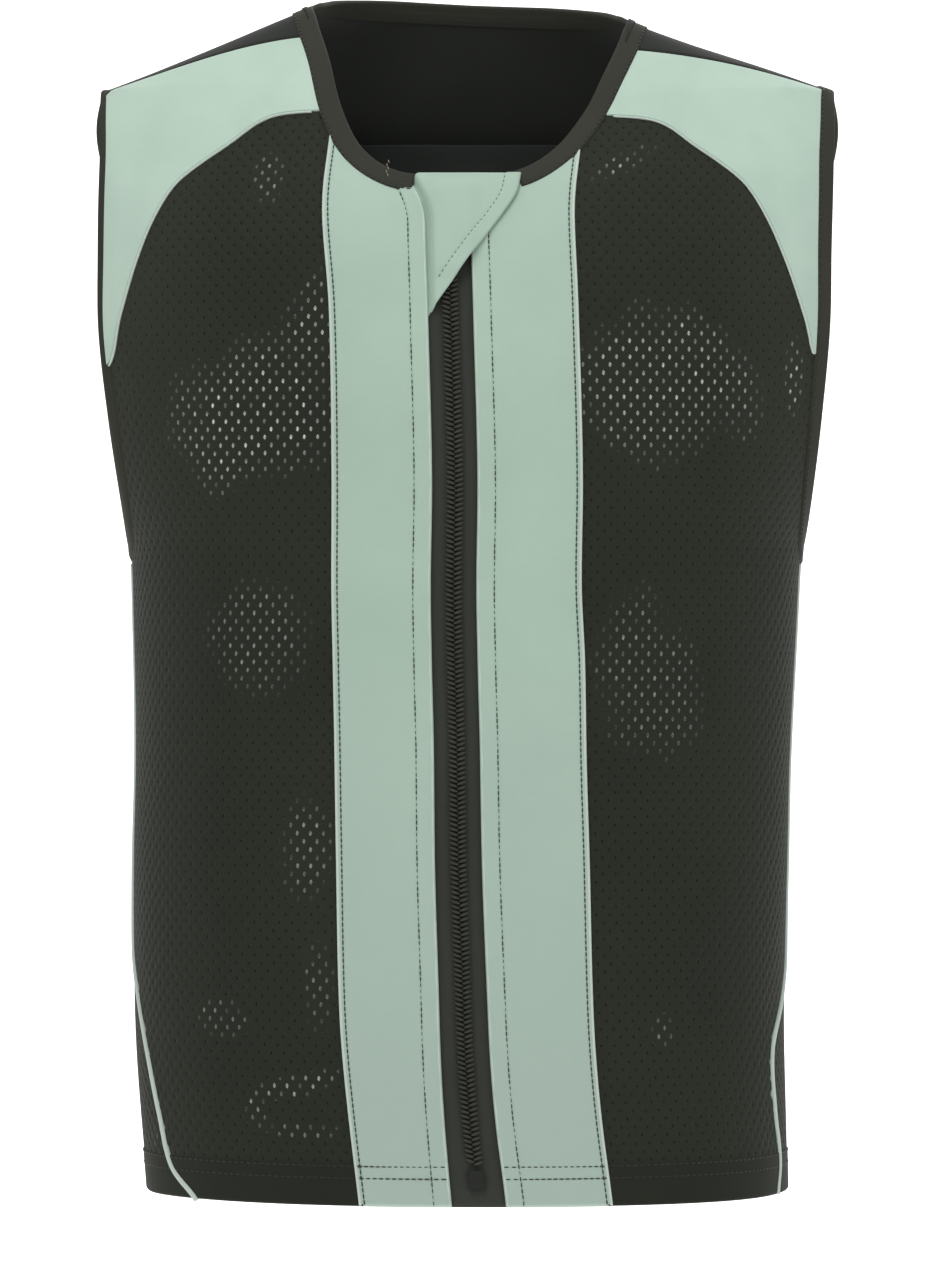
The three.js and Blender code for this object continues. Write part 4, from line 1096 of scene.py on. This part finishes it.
def panelOuterEdge(side, inset):
    z = np.linspace(readNeck(vest["centrePanelHalf"]) - turnedEdge["centreStart"], hemTop + 0.6, 220)
    return ontoSurface(facePoint(panelEdge(z, side) - side * inset, z))


def placketInnerEdge(side, inset):
    z = np.linspace(readNeck(vest["placketHalfGap"]) - turnedEdge["placketStart"], hemTop + 0.6, 220)
    return ontoSurface(facePoint(placketEdge(z, side) + side * inset, z))


def edgeFold(kind, word, line, aside):
    section = roundSection(*turnedEdge[kind], 8)
    sweptPiece(kind + "_edge_fold_" + word, line, aside, section, False, "paleEdgeHighlight")


for side, word in hands:
    edgeFold("centre", word, panelOuterEdge(side, turnedEdge["centreInset"]), side)
    edgeFold("placket", word, placketInnerEdge(side, turnedEdge["placketInset"]), side)
    bottom = smoothCurve(yokeEdges(side)[1][::3], 140)
    share = np.linspace(turnedEdge["yokeFrom"], turnedEdge["yokeTo"], 140)
    edgeFold("yoke", word, ontoSurface(along(bottom, share)), -side)

# the hem is folded up double, so a plain band without eyelets closes the mesh at the foot
hem = {"height": 20.5, "wall": 1.3, "thin": 1.15, "under": 1.6}
hemRound = {
    side: anglePoint(np.linspace(0, np.pi, 900), np.full(900, hemTop + 0.2), side) for side in (-1, 1)
}
# the half rounds also pass the middle of the back, where they meet
hemShown = {
    side: hemRound[side][
        (side * hemRound[side][:, 0] > side * panelEdge(hemTop, side) - hem["under"])
        | (hemRound[side][:, 1] > 0)
    ]
    for side in (-1, 1)
}
hemLine = ontoSurface(smoothCurve(np.vstack([hemShown[1][::5], hemShown[-1][::-5]]), 560))
sweptPiece(
    "hem_fold", hemLine, 1, foldedSection(hem["height"], hem["wall"], hem["thin"]), False, "darkMeshHemShaded",
)
print("piping, turned edges and hem made")

# back yoke, from one shoulder seam round the nape to the other; its grid is laid out by distance
# across and by the turn over the shoulders, seen from a line inside the trunk
backYoke = {
    "lift": 0.8, "wall": 1.6, "roll": 0.9, "insideY": -30, "insideZ": -125, "perTurn": 120, "reach": 260,
}


def rolledOut(p):
    turn = np.arctan2(p[:, 2] - backYoke["insideZ"], p[:, 1] - backYoke["insideY"])
    return np.stack([p[:, 0], turn * backYoke["perTurn"]], axis=1)


def rolledOn(flat):
    turn = flat[:, 1] / backYoke["perTurn"]
    low, high = np.zeros(len(flat)), np.full(len(flat), float(backYoke["reach"]))
    for _ in range(26):
        mid = (low + high) / 2
        p = np.stack([
            flat[:, 0], backYoke["insideY"] + mid * np.cos(turn), backYoke["insideZ"] + mid * np.sin(turn),
        ], axis=1)
        within = level(p) < 1
        low, high = np.where(within, mid, low), np.where(within, high, mid)
    return p


def backYokeEdges():
    seams, edges = {}, {}
    for side in (-1, 1):
        left = neckMoved[(neckMoved[:, 0] * side > 0) & (neckMoved[:, 1] < -vest["shoulderSeamForward"])]
        start = left[np.argmax(left[:, 2])]
        seams[side] = shoulderSeam(side, abs(start[0]) + 0.5, vest["shoulderHalf"] - 3)
        arm = armMoved[side]
        arm = arm[(arm[:, 1] > -vest["shoulderSeamForward"] / 2) & (arm[:, 2] > backYokeLine)]
        edges[side] = arm[np.argsort(np.arctan2(arm[:, 1], arm[:, 2] - armholeMid))]
    nape = neckMoved[neckMoved[:, 1] > -vest["shoulderSeamForward"] + 0.5]
    top = np.vstack([seams[1][::-1], nape, seams[-1]])
    x = np.linspace(edges[1][-1, 0], edges[-1][-1, 0], 80)[1:-1]
    bottom = np.vstack([edges[1][-1:], facePoint(x, np.full(len(x), backYokeLine), 1), edges[-1][-1:]])
    left = np.vstack([top[:1], edges[1]])
    right = np.vstack([top[-1:], edges[-1]])
    return top, bottom, left, right


nape = dict(zip(("top", "bottom", "left", "right"), backYokeEdges()))


def backYokeShape(u, v):
    place = rolledOn(patchPlace(*[rolledOut(edge) for edge in nape.values()], u, v))
    lift = backYoke["lift"] + edgeRoll((1 - v) * curveLength(nape["left"]), backYoke["roll"])
    return place, lift, patchFlat(nape["bottom"], nape["left"], u, v)


clothPiece(
    "back_yoke_cloth", 150, 70, backYokeShape, backYoke["wall"], "darkCloth", ["back_yoke"],
)
print("back yoke made")

# zip: woven tapes and interlocking teeth
zipper = {
    "top": tipTop - 56, "length": 472, "tapeWidth": 16, "tapeOuter": -1.2, "tapeWall": 0.8,
    "pitch": 2.35, "toothAside": 2.0, "toothHalves": (2.7, 0.76, 0.95), "toothLift": 0.3,
}
for side, word in hands:

    def tapeShape(u, v, side=side):
        z = zipper["top"] + (hemTop - zipper["top"]) * v
        x = zipLine(z) + side * zipper["tapeWidth"] * u
        flat = np.stack([u * zipper["tapeWidth"], -z], axis=1)
        return facePoint(x, z), np.full(len(u), zipper["tapeOuter"]), flat

    clothPiece(
        "zip_tape_cloth_" + word, 8, 180, tapeShape, zipper["tapeWall"], "tape",
        ["zip_tape_" + word],
    )


# small rounded bodies set on the cloth: where they are, which way they point, and their half sizes
def beadPiece(name, places, ways, normals, halves, material, faces, replaced=()):
    bm = bmesh.new()
    for p, w, n in zip(places, ways, normals):
        w = Vector(w).normalized()
        n = Vector(n)
        n = (n - w * n.dot(w)).normalized()
        side = w.cross(n)
        turn = Matrix((w, side, n)).transposed().to_4x4()
        matrix = Matrix.Translation(Vector(p)) @ turn @ Matrix.Diagonal((*halves, 1))
        bmesh.ops.create_uvsphere(bm, u_segments=faces[0], v_segments=faces[1], radius=mm, matrix=matrix)
    mesh = meshFrom(name, bm)
    keepFlat(mesh, coordsOf(mesh)[:, [0, 2]] / mm)
    return addPiece(name, mesh, material, replaced)


def chestFrame(x, z, lift):
    p = facePoint(x, z)
    at = lay(p, lift)
    return at * mm, lay(p, lift + 1) - at


for side, word in hands:
    count = int(zipper["length"] / zipper["pitch"])
    z = zipper["top"] - (np.arange(count) + (0.5 if side > 0 else 0)) * zipper["pitch"]
    x = zipLine(z) + side * zipper["toothAside"]
    at, out = chestFrame(x, z, zipper["toothLift"])
    ahead = chestFrame(x + side, z + 0.35, zipper["toothLift"])[0]
    beadPiece(
        "zip_teeth_" + word, at, ahead - at, out, zipper["toothHalves"], "coil", (8, 5),
        ["zip_coil_" + word],
    )
print("zip made")

# the flap over the top of the zip: from under the wearer's right placket, over the left one
guard = {
    "top": -vest["neckDrop"], "length": 70, "half": 27, "lift": 3.1, "wall": 1.2, "rise": 2.2, "hem": 6.2,
    "tucked": -0.5, "tuckFrom": 0.2, "tuckTo": 4.6, "slant": 0.8, "roll": 0.9,
    "fold": 0.45, "groove": 0.35, "grooveHalf": 0.7,
}
# where the slider is, and how far from it the flap comes down again
slider = {"aside": 2.8, "down": 19, "across": (6.5, 14.5), "along": (18, 26)}
guardEdges = table(
    "down right left",
    (0, -0.94, 1.18), (0.13, -0.81, 1.11), (0.23, -0.71, 0.96), (0.41, -0.65, 0.6),
    (0.6, -0.62, 0.215), (0.8, -0.61, -0.17), (1, -0.61, -0.555),
)


def guardRise(x, z):
    across = np.abs(x - zipLine(z) - slider["aside"])
    down = np.abs(z - (zipper["top"] - slider["down"]))
    rise = guard["rise"] * (1 - smoothstep(*slider["across"], across))
    return rise * (1 - smoothstep(*slider["along"], down))


def guardShape(u, v):
    z = guard["top"] - guard["length"] * v
    right = guard["half"] * readTable(guardEdges, "down", "right", v)
    left = guard["half"] * readTable(guardEdges, "down", "left", v)
    x = right + (left - right) * u
    fromEdge = (1 - u) * (left - right) * guard["slant"]
    raised = guard["fold"] * smoothstep(guard["hem"] + 0.7, guard["hem"] - 0.4, fromEdge)
    raised -= guard["groove"] * np.exp(-(((fromEdge - guard["hem"]) / guard["grooveHalf"]) ** 2))
    top = guard["lift"] + guardRise(x, z) + raised
    top = top + edgeRoll(fromEdge, guard["roll"]) + edgeRoll(guard["top"] - z, guard["roll"])
    out = smoothstep(guard["tuckFrom"], guard["tuckTo"], x - placketEdge(z, -1))
    lift = guard["tucked"] + (top - guard["tucked"]) * out
    return facePoint(x, z), lift, np.stack([x, -z], axis=1)


clothPiece("zip_guard_cloth", 84, 100, guardShape, guard["wall"], "paleCloth", ["zip_guard"])

thread = {
    "paleLift": 0.72, "hemLift": 0.6, "bindingLift": 1.45, "fromHem": 1.2, "fromEdge": 0.9,
    "beforeFold": 0.5, "afterFold": 0.7, "pitch": 2.9, "hemPitch": 3.4, "bindingPitch": 3.2,
    "halves": (1.5, 0.44, 0.32), "guardHalves": (1.05, 0.3, 0.24),
}


# stitches: short sunk threads in a row along each curve on the body
def stitchPiece(name, rows, material, pitch=thread["pitch"]):
    places, ways, normals = [], [], []
    for curve, lift in rows:
        count = int(curveLength(curve) / pitch)
        share = (np.arange(count) + 0.5) / count
        at = lay(along(curve, share), lift)
        ahead = lay(along(curve, share + 0.3 / count), lift)
        out = lay(along(curve, share), lift + 1)
        places.append(at * mm)
        ways.append(ahead - at)
        normals.append(out - at)
    places, ways, normals = np.vstack(places), np.vstack(ways), np.vstack(normals)
    beadPiece(name, places, ways, normals, thread["halves"], material, (5, 4))


def hemStitchLine(side, up, onPlacket):
    edge, z = placketEdge(hemTop + up, side), hemTop + up
    if onPlacket:
        fold = panel["placket"] - thread["beforeFold"]
        x = np.linspace(edge + side * thread["fromEdge"], edge + side * fold, 12)
    else:
        fold = panel["placket"] + thread["afterFold"]
        x = np.linspace(edge + side * fold, panelEdge(z, side) - side * thread["fromEdge"], 30)
    return ontoSurface(facePoint(x, np.full(len(x), z)))


for side, word in hands:
    below = thread["paleLift"]
    stitchPiece("centre_stitches_" + word, [
        (placketInnerEdge(side, panel["placket"]), below), (panelOuterEdge(side, panel["turned"]), below),
        *[(hemStitchLine(side, up, False), below) for up in panel["hems"]],
        *[(hemStitchLine(side, up, True), below + panel["fold"]) for up in panel["hems"]],
    ], "thread")
stitchPiece("hem_stitches", [
    (ontoSurface(hemLine + (0, 0, up)), thread["hemLift"]) for up in panel["hems"]
], "darkThread", thread["hemPitch"])
stitchPiece("neck_stitches", [
    (movedCurve(neckEdge, thread["fromHem"] - binding["neckWidth"]), thread["bindingLift"]),
], "darkThread", thread["bindingPitch"])
stitchPiece("armhole_stitches", [
    (movedCurve(armholeEdge[1], binding["armWidth"] - thread["fromHem"], True), thread["bindingLift"]),
], "darkThread", thread["bindingPitch"])
v = np.linspace(0.02, 0.97, 60)
z = guard["top"] - guard["length"] * v
x = guard["half"] * readTable(guardEdges, "down", "left", v) - guard["hem"] / guard["slant"]
shown = x > placketEdge(z, -1) + guard["tuckTo"]
x, z = x[shown], z[shown]
at, out = chestFrame(x, z, guard["lift"] + guardRise(x, z) - 0.1)
share = (np.arange(24) + 0.5) / 24
beadPiece(
    "guard_stitches", along(at, share), along(at, share + 0.01) - along(at, share), along(out, share),
    thread["guardHalves"], "thread", (5, 4),
)

# a short light thread across the neck binding, and the metal stop under the zip
lightThread = {"x": -33.4, "sway": 0.35, "top": -63, "step": 1.7, "lift": 1.75, "halves": (1.15, 0.3, 0.25)}
stop = {"x": -2.3, "z": -558.0, "lift": -1.0, "halves": (0.8, 0.8, 0.6)}
turns = np.arange(5)
z = lightThread["top"] - lightThread["step"] * turns
x = lightThread["x"] + lightThread["sway"] * np.cos(np.pi * turns)
at, out = chestFrame(x, z, lightThread["lift"])
ahead = chestFrame(x + 0.15, z - 0.5, lightThread["lift"])[0]
beadPiece(
    "neck_thread_end", at, ahead - at, out, lightThread["halves"], "beigeThread", (6, 4),
)
at, out = chestFrame(np.array([stop["x"]]), np.array([stop["z"]]), stop["lift"])
beadPiece(
    "zip_stop_dot", at, np.array([[1.0, 0, 0]]), out, stop["halves"], "beigeThread", (12, 8),
)
print("stitches made")

pad = {
    "top": tipTop - 6, "length": 490, "half": 124, "outer": -3.4, "inner": -13.8, "voxel": 5.5,
    "pressure": 4, "cap": 5, "edge": 7, "thinEdge": 0.25, "reach": 0.985, "ends": 0.008, "frames": 20,
}
padSections = table(
    "down half",
    (0, 0.62), (0.03, 0.74), (0.1, 0.86), (0.25, 1), (0.4, 0.95), (0.6, 0.78), (0.8, 0.72),
    (0.93, 0.7), (0.98, 0.6), (1, 0.46),
)


def padPlace(u, v, lift):
    half = pad["half"] * readTable(padSections, "down", "half", v)
    z = pad["top"] - v * pad["length"]
    p = ontoSurface(facePoint(half * (1 - 2 * u) * pad["reach"], z, 1))
    return hang(p + normalAt(p) * lift[:, None])


def makePad():
    bm = unitGrid(40, 84)
    bmesh.ops.solidify(bm, geom=bm.faces[:], thickness=0.01)
    mesh = meshFrom("back_pad_soft", bm)
    co = coordsOf(mesh)
    top = co[:, 2] > co[:, 2].mean()
    u, v = np.clip(co[:, 0], 0, 1), np.clip(1 - co[:, 1], 0, 1)
    half = pad["half"] * readTable(padSections, "down", "half", v)
    edge = np.minimum(np.minimum(u, 1 - u) * 2 * half, np.minimum(v, 1 - v) * pad["length"])
    crown = np.sqrt(np.clip(1 - (1 - np.clip(edge / pad["edge"], 0, 1)) ** 2, 0, 1))
    middle, thick = (pad["outer"] + pad["inner"]) / 2, (pad["outer"] - pad["inner"]) / 2
    lift = middle + np.where(top, 1, -1) * thick * (pad["thinEdge"] + (1 - pad["thinEdge"]) * crown)
    setCoords(mesh, padPlace(u, pad["ends"] + (1 - 2 * pad["ends"]) * v, lift) * mm)
    bm = bmesh.new()
    bm.from_mesh(mesh)
    bmesh.ops.recalc_face_normals(bm, faces=bm.faces[:])
    bm.to_mesh(mesh)
    bm.free()
    piece = addPiece("back_pad_soft", mesh, "padCover", ["back_pad"])
    swell(piece)
    keepFlat(mesh, coordsOf(mesh)[:, [0, 2]] / mm)
    return piece


# the pad's cover is blown up by cloth simulation, each point by no more than the cap, which is
# more than the room behind it: the cover comes through the cloth of the back
def swell(piece):
    mesh = piece.data
    bpy.context.view_layer.objects.active = piece
    remesh = piece.modifiers.new("remesh", "REMESH")
    remesh.mode, remesh.voxel_size = "VOXEL", pad["voxel"] * mm
    bpy.ops.object.modifier_apply(modifier=remesh.name)
    start = coordsOf(mesh)
    cloth = piece.modifiers.new("cloth", "CLOTH")
    cloth.settings.use_pressure = True
    cloth.settings.uniform_pressure_force = pad["pressure"]
    cloth.settings.effector_weights.gravity = 0
    scene = bpy.context.scene
    for number in range(1, pad["frames"] + 1):
        scene.frame_set(number)
    shaped = piece.evaluated_get(bpy.context.evaluated_depsgraph_get()).to_mesh()
    moved = coordsOf(shaped) - start
    piece.to_mesh_clear()
    piece.modifiers.remove(cloth)
    scene.frame_set(1)
    length = np.maximum(1e-9, np.linalg.norm(moved, axis=1))
    setCoords(mesh, start + moved * np.minimum(1, pad["cap"] * mm / length)[:, None])
    print("pad swollen by", round(float(length.max() / mm), 1), "mm at most, cut to", pad["cap"])
    smoother = piece.modifiers.new("smooth", "SUBSURF")
    smoother.levels = smoother.render_levels = 1
    bpy.ops.object.modifier_apply(modifier=smoother.name)
    smoothFaces(mesh)


padPiece = makePad()
print("pad made")

# the slider and the box at the zip's foot keep their solids and get a finish
for name, material in (("zip_slider", "metal"), ("zip_box", "zipPlastic")):
    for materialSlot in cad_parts[name].material_slots:
        materialSlot.material = materials[material]


# floor, wall, light and camera
white = bpy.data.materials.new("studioWhite")
white.use_nodes = True
setInputs(white.node_tree.nodes["Principled BSDF"], {
    "Base Color": (0.92, 0.92, 0.92, 1), "Roughness": 0.9, "Emission Color": (1, 1, 1, 1),
    "Emission Strength": 0.85,
})
studio = {"floor": -3.2, "front": -4, "wall": 8, "half": 7, "height": 6, "cove": 1.6}
bm = bmesh.new()
line = [(studio["front"], studio["floor"])]
for i in range(13):
    a = math.pi / 2 * i / 12
    line.append((
        studio["wall"] - studio["cove"] + studio["cove"] * math.sin(a),
        studio["floor"] + studio["cove"] * (1 - math.cos(a)),
    ))
line.append((studio["wall"], studio["height"]))
verts = [bm.verts.new((-studio["half"], y, z)) for y, z in line]
edges = [bm.edges.new(pair) for pair in zip(verts, verts[1:])]
made = bmesh.ops.extrude_edge_only(bm, edges=edges)
moved = [g for g in made["geom"] if isinstance(g, bmesh.types.BMVert)]
bmesh.ops.translate(bm, verts=moved, vec=(2 * studio["half"], 0, 0))
bmesh.ops.recalc_face_normals(bm, faces=bm.faces[:])
mesh = meshFrom("backdrop", bm)
backdrop = newObject("backdrop", mesh)
mesh.materials.append(white)
smoothFaces(mesh)
backdrop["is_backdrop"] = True


def areaLight(name, place, aim, size, power):
    light = bpy.data.lights.new(name, "AREA")
    light.shape, light.size, light.size_y = "RECTANGLE", size[0], size[1]
    light.energy = power
    lamp = newObject(name, light)
    lamp.location = place
    lamp.rotation_euler = (Vector(aim) - Vector(place)).to_track_quat("-Z", "Y").to_euler()


areaLight("key", (-0.9, -1.6, 2.0), (0, 0, -0.25), (1.6, 1.6), 26)
areaLight("top", (0.2, -0.5, 2.2), (0, 0, -0.1), (1.8, 1.4), 17)
areaLight("fill", (1.7, -2.2, 0.2), (0, 0, -0.35), (1.6, 1.8), 10)
areaLight("back", (0.6, 2.6, 1.6), (0, 0, -0.3), (2, 2), 26)

world = bpy.data.worlds.new("studio")
world.use_nodes = True
setInputs(world.node_tree.nodes["Background"], {"Color": (1, 1, 1, 1), "Strength": 0.42})
bpy.context.scene.world = world
bpy.context.scene.view_settings.view_transform = "Standard"  # cloth colours come out as they are

camera = bpy.data.cameras.new("camera")
camera.sensor_width, camera.sensor_fit, camera.lens = 36, "AUTO", 169.7
eye = newObject("camera", camera)
eye.location = (0.002, -3.0, -0.293)
eye.rotation_euler = (math.pi / 2, 0, 0)
bpy.context.scene.camera = eye

low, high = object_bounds()
print("bounds", [round(v, 4) for v in (*low, *high)])
